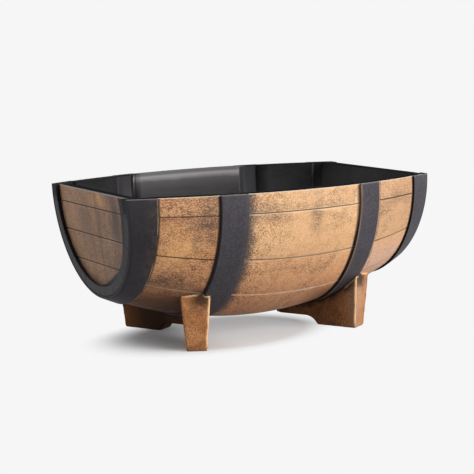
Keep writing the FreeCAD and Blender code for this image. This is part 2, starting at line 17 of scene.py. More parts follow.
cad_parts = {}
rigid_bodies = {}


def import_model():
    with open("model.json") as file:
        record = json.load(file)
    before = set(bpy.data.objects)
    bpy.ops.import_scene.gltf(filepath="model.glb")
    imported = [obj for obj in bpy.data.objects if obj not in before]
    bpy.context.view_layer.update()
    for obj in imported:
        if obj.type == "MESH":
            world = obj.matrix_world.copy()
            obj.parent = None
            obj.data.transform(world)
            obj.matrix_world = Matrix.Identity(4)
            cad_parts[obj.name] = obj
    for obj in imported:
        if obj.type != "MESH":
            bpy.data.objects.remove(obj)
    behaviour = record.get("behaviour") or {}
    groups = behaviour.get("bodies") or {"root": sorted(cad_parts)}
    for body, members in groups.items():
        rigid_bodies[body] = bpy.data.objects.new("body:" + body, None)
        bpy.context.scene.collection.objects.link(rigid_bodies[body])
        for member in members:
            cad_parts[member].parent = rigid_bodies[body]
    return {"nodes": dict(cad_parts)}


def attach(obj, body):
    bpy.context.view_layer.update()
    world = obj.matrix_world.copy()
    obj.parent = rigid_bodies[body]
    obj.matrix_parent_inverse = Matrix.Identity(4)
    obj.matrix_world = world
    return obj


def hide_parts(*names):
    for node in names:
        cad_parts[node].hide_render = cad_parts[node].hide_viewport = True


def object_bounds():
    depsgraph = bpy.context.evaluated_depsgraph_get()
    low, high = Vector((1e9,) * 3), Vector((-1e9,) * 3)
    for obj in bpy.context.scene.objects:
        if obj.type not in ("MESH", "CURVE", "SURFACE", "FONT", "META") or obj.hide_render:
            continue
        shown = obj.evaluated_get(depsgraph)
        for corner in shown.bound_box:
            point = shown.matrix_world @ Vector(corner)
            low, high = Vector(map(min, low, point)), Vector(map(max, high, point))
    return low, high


for leftover in list(bpy.data.objects):
    bpy.data.objects.remove(leftover)
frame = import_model()
cad_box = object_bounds()
scene = bpy.context.scene
scene.view_settings.view_transform = "Standard"
print("CAD nodes:", len(frame["nodes"]))

# %% [markdown]
# ## Sizes that many steps share
# The rim, the ends and the edges of the hoops are needed again and again. They could be typed in,
# but they are measured on the frame, so they can't drift away from it. The radii, the axis and the
# lean of the ends are the ones that the barrel was drawn with. All sizes are in metres.

# %% Sizes of the barrel
def reach_of(node):
    """The least and the greatest place of a CAD piece along the barrel."""
    places = [vertex.co.x for vertex in frame["nodes"][node].data.vertices]
    return round(min(places), 5), round(max(places), 5)


HALF_LENGTH = round(cad_box[1][0], 5)
RIM_HEIGHT = round(cad_box[1][2], 5)
HOOP_NEAR, HOOP_FAR = reach_of("hoop_right_middle")
HOOP_END = reach_of("hoop_right_end")[0]
MIDDLE_RADIUS = 0.2255
END_RADIUS = 0.1535
AXIS_HEIGHT = 0.252
AXIS_DROP = round(RIM_HEIGHT - AXIS_HEIGHT, 5)
END_LEAN = math.radians(5.6)
print("half length", HALF_LENGTH, "rim", RIM_HEIGHT, "hoop edges", HOOP_NEAR, HOOP_FAR, HOOP_END)

# %% [markdown]
# ## The camera
# The photograph was taken from the front left, a little above the rim. A camera can be turned by
# trial, but here its place was worked out from the rim, the hoops and the soles, so it is written
# as a stand point and three turns. A matrix made of the three view directions sets it at once.

# %% Camera
yaw, pitch, roll = math.radians(29.554), math.radians(8.546), math.radians(-1.359)
stand = Vector((-1.1941, -2.0886, 0.5257))
ahead = Vector((math.sin(yaw) * math.cos(pitch), math.cos(yaw) * math.cos(pitch), -math.sin(pitch)))
level = Vector((math.cos(yaw), -math.sin(yaw), 0))
above = level.cross(ahead)
right = level * math.cos(roll) + above * math.sin(roll)
up = above * math.cos(roll) - level * math.sin(roll)
camera = bpy.data.objects.new("camera", bpy.data.cameras.new("camera"))
camera.data.lens = 102.1
camera.matrix_world = Matrix((
    (right.x, up.x, -ahead.x, stand.x),
    (right.y, up.y, -ahead.y, stand.y),
    (right.z, up.z, -ahead.z, stand.z),
    (0, 0, 0, 1),
))
scene.collection.objects.link(camera)
scene.camera = camera
print("camera", [round(number, 3) for number in camera.location], "lens", camera.data.lens)

# %% [markdown]
# ## Sums inside node trees
# Both the shapes and the finishes below are sums worked out by nodes. Adding each Math node by hand
# makes long scripts that hide the sum, so a small class lets a sum be written as a sum: every plus,
# minus, times or divide on a Term adds one Math node and links it.

# %% A number inside a node tree
class Term:
    """A number inside a node tree. A sum written with it becomes Math nodes."""

    def __init__(self, tree, socket):
        self.tree, self.socket = tree, socket

    def __add__(self, other):
        return calc("ADD", self, other)

    def __radd__(self, other):
        return calc("ADD", other, self)

    def __sub__(self, other):
        return calc("SUBTRACT", self, other)

    def __rsub__(self, other):
        return calc("SUBTRACT", other, self)

    def __mul__(self, other):
        return calc("MULTIPLY", self, other)

    def __rmul__(self, other):
        return calc("MULTIPLY", other, self)

    def __truediv__(self, other):
        return calc("DIVIDE", self, other)

    def __rtruediv__(self, other):
        return calc("DIVIDE", other, self)

    def __abs__(self):
        return calc("ABSOLUTE", self)


def feed(slot, source):
    """Link a Term or an output to an input, or set a plain value on it."""
    if isinstance(source, Term):
        source = source.socket
    if isinstance(source, bpy.types.NodeSocket):
        slot.id_data.links.new(source, slot)
    else:
        slot.default_value = source


def add_node(tree, kind, *sources, **named):
    """Add a node and feed its inputs, the first ones in order and others by name."""
    node = tree.nodes.new(kind)
    for slot, source in zip(node.inputs, sources):
        feed(slot, source)
    for label, source in named.items():
        feed(node.inputs[label], source)
    return node


def calc(operation, *terms):
    tree = next(term.tree for term in terms if isinstance(term, Term))
    node = add_node(tree, "ShaderNodeMath", *terms)
    node.operation = operation
    return Term(tree, node.outputs[0])


print("a Term knows:", [name.strip("_") for name, value in vars(Term).items() if callable(value)])

# %% Ramps and choices
def ramp(term, low, high, smooth=True):
    """0 at low and 1 at high, held outside."""
    node = add_node(term.tree, "ShaderNodeMapRange", term, low, high)
    node.interpolation_type = "SMOOTHSTEP" if smooth else "LINEAR"
    return Term(term.tree, node.outputs["Result"])


def band(term, low, first, last, high):
    """1 from first to last, falling to 0 at low and at high."""
    return ramp(term, low, first) * ramp(term, high, last)


def either(test, yes, no):
    """yes where test is 1, no where it is 0."""
    return test * (yes - no) + no


def smallest(first, second):
    return calc("MINIMUM", first, second)


def largest(first, second):
    return calc("MAXIMUM", first, second)


print("ramps and choices ready")

# %% Vectors and noise
def split(tree, vector):
    return [Term(tree, socket) for socket in add_node(tree, "ShaderNodeSeparateXYZ", vector).outputs]


def gather(tree, *numbers):
    return add_node(tree, "ShaderNodeCombineXYZ", *numbers).outputs[0]


def stretch(tree, vector, factors):
    node = add_node(tree, "ShaderNodeVectorMath", vector, factors)
    node.operation = "MULTIPLY"
    return node.outputs[0]


def noise(tree, vector, wavelength, detail=2.0, roughness=0.5, distortion=0.0):
    """Soft random values about 0.5, with bumps about one wavelength apart."""
    looks = {"Detail": detail, "Roughness": roughness, "Distortion": distortion}
    node = add_node(tree, "ShaderNodeTexNoise", Vector=vector, Scale=1 / wavelength, **looks)
    return Term(tree, node.outputs["Fac"])


def dots(tree, vector, spacing):
    """Distance to the nearest of many scattered dots, in shares of their spacing."""
    node = add_node(tree, "ShaderNodeTexVoronoi", Vector=vector, Scale=1 / spacing)
    return Term(tree, node.outputs["Distance"])


print("vectors and noise ready")

# %% [markdown]
# ## The floor and the light
# The photograph has a plain pale ground and a soft light from the right of the front, with a weak
# fill from behind the left end and a wide light overhead. Sun lamps with wide discs give even light
# on the floor, so the ground stays plain apart from the shadow under the planter. A pale floor would
# also throw much light up at the hull, which is dark in the photograph, so the floor is pale to the
# camera and a deeper grey to the light that bounces off it.

# %% World and lamps
# The ground is this pale to the camera, and the sky lights the planter with a small share of it.
PALE = (0.922, 0.922, 0.922, 1)
AMBIENT = 0.08
SHOWN = ("Is Camera Ray", "Is Glossy Ray", "Is Transmission Ray")


def shown_to_camera(tree):
    """1 for rays that show the background: from the camera, or through a reflection or glass."""
    path = tree.nodes.new("ShaderNodeLightPath")
    direct, mirrored, through = [Term(tree, path.outputs[name]) for name in SHOWN]
    return largest(largest(direct, mirrored), through)


scene.world = bpy.data.worlds.new("studio")
scene.world.use_nodes = True
air = scene.world.node_tree
sky = air.nodes["Background"]
sky.inputs["Color"].default_value = PALE
feed(sky.inputs["Strength"], either(shown_to_camera(air), 1.0, AMBIENT))


def sun(name, bearing, height, strength, spread):
    """A lamp some degrees to the right of the front, some degrees above the floor."""
    aside, rise = math.radians(bearing), math.radians(height)
    flat = math.cos(rise)
    towards = Vector((math.sin(aside) * flat, -math.cos(aside) * flat, math.sin(rise)))
    lamp = bpy.data.lights.new(name, "SUN")
    lamp.energy, lamp.angle = strength, math.radians(spread)
    holder = bpy.data.objects.new(name, lamp)
    holder.rotation_mode = "QUATERNION"
    holder.rotation_quaternion = towards.to_track_quat("Z", "Y")
    scene.collection.objects.link(holder)


sun("key", bearing=32, height=12, strength=3.7, spread=45)
sun("fill", bearing=-110, height=25, strength=1.0, spread=70)
sun("overhead", bearing=20, height=80, strength=1.3, spread=110)
print("lamps:", [lamp.name for lamp in bpy.data.lights])

# %% [markdown]
# The shadow in the photograph is dark on the left and fades out on the right and in front. The floor
# therefore mixes two shaders: a matt one that takes the shadow, in a soft oval under the hull, and a
# plain pale one everywhere else.

# %% Floor
SIDE, DROP = 9, 0.0004
SHADOW_MIDDLE = (-0.08, -0.02)
SHADOW_REACH = (0.25, 0.163)
corners = [(-SIDE, -SIDE, -DROP), (SIDE, -SIDE, -DROP), (SIDE, SIDE, -DROP), (-SIDE, SIDE, -DROP)]
floor_mesh = bpy.data.meshes.new("floor")
floor_mesh.from_pydata(corners, [], [(0, 1, 2, 3)])
floor = bpy.data.objects.new("floor", floor_mesh)
scene.collection.objects.link(floor)
ground = bpy.data.materials.new("pale_ground")
ground.use_nodes = True
tree = ground.node_tree
matt = tree.nodes["Principled BSDF"]
seen = shown_to_camera(tree)
grey = either(seen, 0.95, 0.25)
feed(matt.inputs["Base Color"], gather(tree, grey * 0.97, grey, grey * 1.02))
matt.inputs["Roughness"].default_value = 1.0
matt.inputs["Specular IOR Level"].default_value = 0.0
plain = add_node(tree, "ShaderNodeEmission", Color=PALE)
across, depth, _ = split(tree, tree.nodes.new("ShaderNodeTexCoord").outputs["Object"])
aside = (across - SHADOW_MIDDLE[0]) / SHADOW_REACH[0]
nearer = (depth - SHADOW_MIDDLE[1]) / SHADOW_REACH[1]
away = calc("SQRT", aside * aside + nearer * nearer)
unshaded = largest(ramp(across, -0.17, -0.06) * 0.34, ramp(away, 0.55, 1.0)) * seen
mix = add_node(tree, "ShaderNodeMixShader", unshaded, matt.outputs[0], plain.outputs[0])
feed(tree.nodes["Material Output"].inputs["Surface"], mix.outputs[0])
floor_mesh.materials.append(ground)
print("floor", tuple(floor.dimensions))

# %% [markdown]
# ## The rule of the barrel
# Every stave and every hoop is a flat strip bent to one rule. Along its length it follows a wide
# arc, the bow, and crosswise it follows a circle about the barrel's axis. The two ends lean in
# towards the keel, and the upper edges are sawn level at the rim. A strip could be cut out of a
# lathe shape with booleans, but a rule is clearer in Geometry Nodes: a plain block of points is
# moved, point by point, to where the rule puts it.

# %% Inputs of the bent board
BARREL = {
    "Barrel Length": 2 * HALF_LENGTH, "Middle Radius": MIDDLE_RADIUS, "End Radius": END_RADIUS,
    "Axis Height": AXIS_HEIGHT, "Axis Drop": AXIS_DROP, "End Lean": END_LEAN,
}
BOARD = {
    "Start": -HALF_LENGTH, "End": HALF_LENGTH, "Start Lean": 1.0, "End Lean In": 1.0,
    "From Angle": 0.0, "To Angle": 0.4, "From Rim": 0.0, "To Rim": 0.0,
    "Inner": -0.015, "Outer": 0.0, "Round": 0.0012, "Groove": 0.0,
    "Unevenness": 0.0003, "Seed": 1.0,
    # The first two set the painted highlight on the long edges, the last two the wear at the ends.
    "From Wear": 0.0, "To Wear": 0.0, "Start Wear": 0.0, "End Wear": 0.0,
}
COUNTS = {"Points Along": 141, "Points Around": 19, "Points Through": 11}


def new_tree(name, kind, inputs, outputs):
    """An empty node tree with named sockets: (name, socket type, default) for each."""
    made = bpy.data.node_groups.new(name, kind)
    for way, sockets in (("INPUT", inputs), ("OUTPUT", outputs)):
        for label, socket, default in sockets:
            item = made.interface.new_socket(name=label, in_out=way, socket_type=socket)
            if default is not None:
                item.default_value = default
    return made, made.nodes.new("NodeGroupInput"), made.nodes.new("NodeGroupOutput")


sockets = [(label, "NodeSocketFloat", number) for label, number in {**BARREL, **BOARD}.items()]
sockets += [(label, "NodeSocketInt", number) for label, number in COUNTS.items()]
sockets += [("Material", "NodeSocketMaterial", None)]
shape = [("Geometry", "NodeSocketGeometry", None)]
board_tree, given, made = new_tree("bent board", "GeometryNodeTree", sockets, shape)
want = {label: Term(board_tree, given.outputs[label]) for label in [*BARREL, *BOARD, *COUNTS]}
print("inputs of the bent board:", len(sockets))

# %% [markdown]
# A rounded edge needs points close together near the edge and few elsewhere. The block's even rows
# are therefore crowded: three rows fall in each rounded edge. A point on a face and a point on the
# side beside it then both slide onto a quarter circle, half of the turn each.

# %% Crowded rows and rounded edges
EDGE_ROWS = 3
HALF_TURN = math.pi / 4
ON_EDGE = 1e-6
block = add_node(board_tree, "GeometryNodeMeshCube", Size=(2, 2, 2))
for axis, label in zip("XYZ", COUNTS):
    feed(block.inputs[f"Vertices {axis}"], want[label])
corner = split(board_tree, board_tree.nodes.new("GeometryNodeInputPosition").outputs[0])
rounding = want["Round"]


def crowd(place, count, span):
    """Distance along one direction, with rows crowded into the rounded edges."""
    last = count - 1
    row = (place + 1) * 0.5 * last
    first_edge = ramp(row, 0, EDGE_ROWS, smooth=False)
    flat = ramp(row, EDGE_ROWS, last - EDGE_ROWS, smooth=False)
    last_edge = ramp(row, last - EDGE_ROWS, last, smooth=False)
    return rounding * first_edge + (span - 2 * rounding) * flat + rounding * last_edge


def slid(gap):
    """A point beside an edge slides along its own face, onto the quarter circle."""
    turn = (1 - gap / rounding) * HALF_TURN
    return either(calc("LESS_THAN", gap, rounding), rounding * (1 - calc("SINE", turn)), gap)


def sunk(gap):
    """How far that face sinks beside the edge."""
    turn = ramp(gap, rounding, 0, smooth=False) * HALF_TURN
    return rounding * (1 - calc("COSINE", turn))


spans = [
    want["End"] - want["Start"],
    (want["To Angle"] - want["From Angle"]) * want["Middle Radius"],
    want["Outer"] - want["Inner"],
]
marks = [crowd(place, want[label], span) for place, label, span in zip(corner, COUNTS, spans)]
gaps = [smallest(mark, span - mark) for mark, span in zip(marks, spans)]
on_edge = [calc("LESS_THAN", gap, ON_EDGE) for gap in gaps]
soft = [
    either(on_edge[0], sunk(gaps[2]), slid(gaps[0])),
    either(on_edge[1], sunk(gaps[2]), slid(gaps[1])),
    either(on_edge[2], largest(sunk(gaps[1]), sunk(gaps[0])), slid(gaps[2])),
]
print("nodes so far:", len(board_tree.nodes))

# %% [markdown]
# Sawn wood is never quite true. A slow noise along the board makes its edges wander by a fraction
# of a millimetre and its face swell a little. The same noise with another seed serves every board.

# %% Uneven edges and shares along each direction
drift = gather(board_tree, marks[0], marks[1] * 0.2, want["Seed"])
wander = noise(board_tree, drift, 0.05, 3.0)
swell = noise(board_tree, gather(board_tree, marks[0], marks[1], want["Seed"] + 7.0), 0.11, 2.0)
soft[1] = soft[1] + want["Unevenness"] * wander * ramp(gaps[1], 0.008, 0.0)
first_half = [calc("LESS_THAN", mark, span * 0.5) for mark, span in zip(marks, spans)]
shares = [
    either(early, gap, span - gap) / span
    for early, span, gap in zip(first_half, spans, soft)
]
lift = want["Inner"] + spans[2] * shares[2] + want["Unevenness"] * (swell - 0.5) * shares[2]
print("nodes so far:", len(board_tree.nodes))

# %% [markdown]
# Now the bending. The radius at a place along the barrel comes from the bow. The sawn rim gives the
# angle where a strip starts or stops, and the leaning ends give its length there. Length and radius
# depend on each other, so the sum is repeated three times, after which it no longer changes.

# %% Bend the block
ROUNDS = 3
sag = want["Middle Radius"] - want["End Radius"]
half = want["Barrel Length"] * 0.5
bow = (half * half + sag * sag) / (2 * sag)
slant = calc("TANGENT", want["End Lean"])


def radius_at(along, raised):
    reach = (bow + raised) * (bow + raised) - along * along
    return want["Middle Radius"] - bow + calc("SQRT", reach)


def bent(along, raised):
    """Angle, new place along the barrel and lean there, from an estimate of that place."""
    radius = radius_at(along, raised)
    sawn = calc("ARCSINE", want["Axis Drop"] / radius)
    first = either(want["From Rim"], 0 - sawn, want["From Angle"])
    last = either(want["To Rim"], sawn + math.pi, want["To Angle"])
    angle = first + (last - first) * shares[1]
    lean_in = (want["Axis Drop"] + radius * calc("SINE", angle)) * slant
    start = want["Start"] + want["Start Lean"] * lean_in
    stop = want["End"] - want["End Lean In"] * lean_in
    return angle, start + (stop - start) * shares[0], lean_in


along = want["Start"] + spans[0] * shares[0]
for _ in range(ROUNDS):
    angle, along, lean_in = bent(along, lift)
print("nodes so far:", len(board_tree.nodes))

# %% [markdown]
# Inside, the staves have shallow grooves that take the channels of the tub. They run behind the
# hoops and stop at the heads. The groove only thins the board from its inner face.

# %% Grooves, and the points in place
SLACK, SLOPE = 0.0005, 0.003
HEAD_SEAT = 0.0206
aside = abs(along)
first, last = HOOP_NEAR - SLACK, HOOP_FAR + SLACK
near_middle = band(aside, first - SLOPE, first, last, last + SLOPE)
first, last = HOOP_END - SLACK, half - lean_in - HEAD_SEAT
near_end = band(aside, first - SLOPE, first, last, last + SLOPE)
hollow = want["Groove"] * largest(near_middle, near_end) * (1 - shares[2])
radius = radius_at(along, lift + hollow)
bent_place = gather(
    board_tree, along,
    0 - radius * calc("COSINE", angle),
    want["Axis Height"] - radius * calc("SINE", angle),
)
print("nodes in all:", len(board_tree.nodes))

# %% [markdown]
# The finishes need to know where they are on a board: how far from its long edge, how far from its
# ends, whether outside or inside, and where along the grain. The tree stores these as attributes
# before the points move, while the sums above still read the even block.

# %% Attributes and the end of the tree
# Edges that turn by more than this, in radians, stay crisp.
CRISP_ANGLE = 0.9


def store(geometry, label, kind, source):
    node = add_node(board_tree, "GeometryNodeStoreNamedAttribute", geometry, Name=label)
    node.data_type, node.domain = kind, "POINT"
    feed(next(item for item in node.inputs if item.name == "Value" and item.enabled), source)
    return node.outputs["Geometry"]


flow = store(block.outputs["Mesh"], "edge", "FLOAT", gaps[1])
flow = store(flow, "end", "FLOAT", gaps[0])
flow = store(flow, "face", "FLOAT", shares[2])
flow = store(flow, "edge_highlight", "FLOAT", either(first_half[1], want["From Wear"], want["To Wear"]))
flow = store(flow, "end_wear", "FLOAT", either(first_half[0], want["Start Wear"], want["End Wear"]))
flow = store(flow, "grain", "FLOAT_VECTOR", gather(board_tree, marks[0], marks[1], want["Seed"] * 0.37))
flow = add_node(board_tree, "GeometryNodeSetPosition", flow, Position=bent_place).outputs[0]
flow = add_node(board_tree, "GeometryNodeFlipFaces", flow).outputs[0]
flow = add_node(board_tree, "GeometryNodeSetShadeSmooth", flow).outputs[0]
bend = board_tree.nodes.new("GeometryNodeInputMeshEdgeAngle").outputs["Unsigned Angle"]
sharp = calc("GREATER_THAN", Term(board_tree, bend), CRISP_ANGLE)
crisp = add_node(board_tree, "GeometryNodeSetShadeSmooth", flow, Selection=sharp)
crisp.domain = "EDGE"
crisp.inputs["Shade Smooth"].default_value = False
flow = add_node(board_tree, "GeometryNodeRealizeInstances", crisp.outputs[0]).outputs[0]
flow = add_node(board_tree, "GeometryNodeSetMaterial", flow, Material=given.outputs["Material"]).outputs[0]
feed(made.inputs[0], flow)
print("bent board tree:", len(board_tree.nodes), "nodes")

# %% [markdown]
# A modifier with this tree would keep a board editable. The planter leaves Blender as plain meshes,
# though, so each board runs the tree once and keeps what comes out.

# %% Turn a bent board into a plain mesh
def set_modifiers(piece):
    """Make what the modifiers give the piece's own mesh."""
    graph = bpy.context.evaluated_depsgraph_get()
    shaped = piece.evaluated_get(graph)
    mesh = bpy.data.meshes.new_from_object(shaped, preserve_all_data_layers=True, depsgraph=graph)
    piece.modifiers.clear()
    piece.data = mesh
    mesh.name = piece.name


def bend_board(name, material, sizes):
    """Run the tree once with these sizes and keep the result as a mesh piece."""
    piece = bpy.data.objects.new(name, bpy.data.meshes.new(name + "_block"))
    scene.collection.objects.link(piece)
    modifier = piece.modifiers.new("bent board", "NODES")
    modifier.node_group = board_tree
    chosen = {**sizes, "Material": material}
    for item in board_tree.interface.items_tree:
        if item.item_type == "SOCKET" and item.in_out == "INPUT" and item.name in chosen:
            modifier[item.identifier] = chosen[item.name]
    set_modifiers(piece)
    return piece


print("bend_board ready")

# %% [markdown]
# ## Effects that several finishes share
# The wood of the staves, the heads and the feet has the same fine stipple, the same dark smudges
# and the same pale lips along its edges. On the hoops and heads the lips are wear, on the staves a
# painted highlight. Each effect is a shader node group that gives out masks, so that every finish
# mixes them with its own colours.

# %% Stipple, smudge and worn lip
def effect(name, inputs, outputs):
    kinds = {"Vector": "NodeSocketVector"}
    ins = [(label, kinds.get(label, "NodeSocketFloat"), number) for label, number in inputs.items()]
    return new_tree(name, "ShaderNodeTree", ins, [(label, "NodeSocketFloat", None) for label in outputs])


masks = ("Speck", "Glint", "Streak", "Relief")
stipple, inlet, outlet = effect("stipple", {"Vector": None, "Size": 0.004}, masks)
vector, size = inlet.outputs["Vector"], Term(stipple, inlet.outputs["Size"])
pits = dots(stipple, stretch(stipple, vector, (0.7, 1, 1)), size)
cloud = noise(stipple, vector, size * 6, 4.0, 0.65, 0.2) - 0.5
lines = noise(stipple, stretch(stipple, vector, (0.05, 1, 1)), size * 0.8, 3.0, 0.6, 0.4)
feed(outlet.inputs["Speck"], ramp(pits + cloud * 1.1, 0.62, 0.12))
feed(outlet.inputs["Glint"], ramp(pits + cloud * 0.6, 0.45, 0.80))
feed(outlet.inputs["Streak"], ramp(lines, 0.42, 0.66))
feed(outlet.inputs["Relief"], pits * 0.7 + lines * 0.3)

smudge, inlet, outlet = effect("smudge", {"Vector": None, "Size": 0.1}, ("Mask", "Tone"))
vector, size = inlet.outputs["Vector"], Term(smudge, inlet.outputs["Size"])
patches = noise(smudge, vector, size, 4.0, 0.55, 0.9)
tones = noise(smudge, stretch(smudge, vector, (0.6, 1, 1)), size * 0.6, 3.0, 0.5, 0.3)
feed(outlet.inputs["Mask"], ramp(patches, 0.52, 0.70))
feed(outlet.inputs["Tone"], ramp(tones, 0.30, 0.70))

# The lip is wear on the hoops and heads and a painted highlight on the staves.
gap_wear_and_highlight = {"Vector": None, "Gap": 1.0, "Wear": 0.0}
lip_wear_and_highlight, inlet, outlet = effect("lip wear and highlight", gap_wear_and_highlight, ("Groove", "Lip"))
gap, worn = [Term(lip_wear_and_highlight, inlet.outputs[label]) for label in ("Gap", "Wear")]
broken = ramp(noise(lip_wear_and_highlight, inlet.outputs["Vector"], 0.05, 3.0), 0.36, 0.58)
feed(outlet.inputs["Groove"], ramp(gap, 0.0013, 0.0004))
feed(outlet.inputs["Lip"], band(gap, 0.0008, 0.0014, 0.0019, 0.0034) * worn * broken)
print("effects:", stipple.name, smudge.name, lip_wear_and_highlight.name)

# %% [markdown]
# A finish is built up like paint: a first colour, and then one layer after another, each with a mask
# that says where it covers the ones below. A class for such a coat keeps a finish readable as a list
# of layers. Masks for places on the barrel, such as the distance from its axis, serve many finishes.

# %% Helpers for a finish
def new_finish(name):
    """A material, its tree, its shader and the Object coordinates it reads."""
    finish = bpy.data.materials.new(name)
    finish.use_nodes = True
    tree = finish.node_tree
    place = tree.nodes.new("ShaderNodeTexCoord").outputs["Object"]
    return finish, tree, tree.nodes["Principled BSDF"], place


def stored(tree, label, output="Fac"):
    node = tree.nodes.new("ShaderNodeAttribute")
    node.attribute_name = label
    return Term(tree, node.outputs[output]) if output == "Fac" else node.outputs[output]


def use(tree, group, vector, **numbers):
    """Place an effect and return its outputs by name."""
    node = tree.nodes.new("ShaderNodeGroup")
    node.node_tree = group
    for label, source in {"Vector": vector, **numbers}.items():
        feed(node.inputs[label], source)
    return {socket.name: Term(tree, socket) for socket in node.outputs}


print("finish helpers ready")

# %% A coat of colours
# A Mix node has sockets for each kind of data. These are the places of its colour sockets.
LOWER_COLOUR, UPPER_COLOUR, MIXED_COLOUR = 6, 7, 2


class Coat:
    """A colour laid on in layers, each covering the ones below it where its mask is 1."""

    def __init__(self, tree, palette, share, first, second):
        self.tree, self.palette = tree, palette
        self.colour = self.pick(first)
        self.over(share, second)

    def pick(self, colour):
        """A colour of the palette by its name, or the colour of another coat."""
        return colour.colour if isinstance(colour, Coat) else (*self.palette[colour], 1)

    def over(self, mask, colour):
        node = add_node(self.tree, "ShaderNodeMix", mask)
        node.data_type = "RGBA"
        feed(node.inputs[LOWER_COLOUR], self.colour)
        feed(node.inputs[UPPER_COLOUR], self.pick(colour))
        self.colour = node.outputs[MIXED_COLOUR]


def dress(shader, coat, roughness, specular):
    """Give the shader its colour, its roughness and its sheen."""
    feed(shader.inputs["Base Color"], coat.colour)
    feed(shader.inputs["Roughness"], roughness)
    shader.inputs["Specular IOR Level"].default_value = specular


def raise_grain(shader, height, strength, depth):
    bump = add_node(height.tree, "ShaderNodeBump", Strength=strength, Distance=depth, Height=height)
    feed(shader.inputs["Normal"], bump.outputs[0])


print("coat ready")

# %% Masks for places on the barrel
def patch(across, up, ragged, middle, height, width, rise):
    """1 at the middle of a soft, ragged patch and 0 outside it."""
    aside, off = (across - middle) / width, (up - height) / rise
    return ramp(calc("SQRT", aside * aside + off * off) + (ragged - 0.5) * 2.0, 1.5, 0.0)


def from_axis(y, z):
    """Distance from the barrel's axis."""
    return calc("SQRT", y * y + (z - AXIS_HEIGHT) * (z - AXIS_HEIGHT))


def end_plane(x, z):
    """Where the plane through this point that leans like the ends meets the rim."""
    return abs(x) + (RIM_HEIGHT - z) * math.tan(END_LEAN)


def back_rim_grey(x, y, middle, ends):
    """A paler grey on the back rim, one share in the middle bay and another beside it."""
    return ramp(y, 0.10, 0.16) * either(ramp(abs(x), 0.13, 0.10), middle, ends)


print("place masks ready")

# %% [markdown]
# ## The finish of the staves
# The wood is stained a golden brown, lighter at the middle and right and darker at the left, and
# turns reddish towards the keel. Dark specks fill its stipple. The black of the hoops was sprayed,
# so it feathers out over the wood beside each hoop, most on their right side. Painted shade darkens
# the top stave and the low hull beside the right foot, painted shadow lines run along the left side
# of the hoops, and the seams carry a painted highlight. The end grain and the rim are black, and the
# rim's outer edge is pale.

# %% Stave finish
CHARCOAL = (0.018, 0.017, 0.019)
STAIN = {
    "left": (0.67, 0.295, 0.122), "right": (0.88, 0.52, 0.265), "brown": (0.56, 0.275, 0.12),
    "gold": (0.96, 0.50, 0.195), "top stave shade": (0.46, 0.25, 0.13), "dull": (0.46, 0.245, 0.14),
    "russet": (0.76, 0.325, 0.145), "rose": (0.85, 0.56, 0.47), "red": (0.58, 0.225, 0.105),
    "shade": (0.20, 0.085, 0.040), "streak": (0.92, 0.58, 0.32), "glint": (0.94, 0.62, 0.36),
    "speck": (0.13, 0.055, 0.026), "underside": (0.115, 0.040, 0.019), "cream wear and highlight": (0.82, 0.62, 0.42),
    "smudge": (0.12, 0.071, 0.051), "mist": (0.050, 0.043, 0.047), "line": (0.020, 0.014, 0.012),
    "seam": (0.035, 0.018, 0.011), "raw": (0.36, 0.20, 0.105), "pale raw": (0.46, 0.27, 0.15),
    "rim edge": (0.86, 0.72, 0.55), "ring": (0.018, 0.017, 0.020), "low ring": (0.028, 0.026, 0.030),
    "ring joint and recess shade": (0.009, 0.008, 0.009), "charcoal": CHARCOAL,
}
stave_wood, tree, shader, place = new_finish("stave_wood")
x, y, z = split(tree, place)
fine = use(tree, stipple, stored(tree, "grain", "Vector"), Size=0.0021)
blot = use(tree, smudge, place, Size=0.10)
ragged = noise(tree, place, 0.03, 4.0, 0.6)
face = stored(tree, "face")
outside = ramp(face, 0.85, 0.93)
front = calc("LESS_THAN", y, 0) * outside
to_right = ramp(x, -0.165, -0.09)
last_bay = ramp(x, 0.145, 0.165)
lower = ramp(z, 0.128, 0.085)
golden = patch(x, z, ragged, middle=-0.216, height=0.178, width=0.032, rise=0.036) * front
wood = Coat(tree, STAIN, to_right, "left", "right")
wood.over(blot["Tone"] * either(to_right, 0.30, 0.45), "brown")
wood.over(golden * 0.75, "gold")
# Painted shade: the top stave is darkened so that it shows no brighter than the staves below it.
wood.over(ramp(z, 0.230, 0.243) * either(last_bay, 0.35, 0.30), "top stave shade")
wood.over(last_bay * ramp(z, 0.15, 0.20) * either(ramp(x, 0.205, 0.245), 0.68, 0.56), "dull")
wood.over(ramp(z, 0.185, 0.125) * 0.65, "russet")
wood.over(last_bay * ramp(z, 0.18, 0.12) * 0.68, "rose")
wood.over(lower * 0.55, "red")
wood.over((1 - to_right) * ramp(z, 0.175, 0.215) * 0.20, "shade")
wood.over(fine["Streak"] * 0.25, "streak")
wood.over(fine["Glint"] * 0.28, "glint")
busy = largest(ramp(x, 0.0, -0.09), blot["Mask"])
speckled = either(to_right, 0.26 + busy * 0.48, 0.82) * (1 - golden * 0.5)
wood.over(fine["Speck"] * speckled, "speck")
# Painted shade under the hull beside the right foot. The low hull also darkens towards the keel on the
# left.
shadow_beside_foot = band(x, 0.02, 0.10, 0.12, 0.15) * ramp(z, 0.10, 0.07) * 0.7
wood.over(lower * largest((1 - to_right) * 0.88, shadow_beside_foot), "underside")
print("stave finish: wood done")

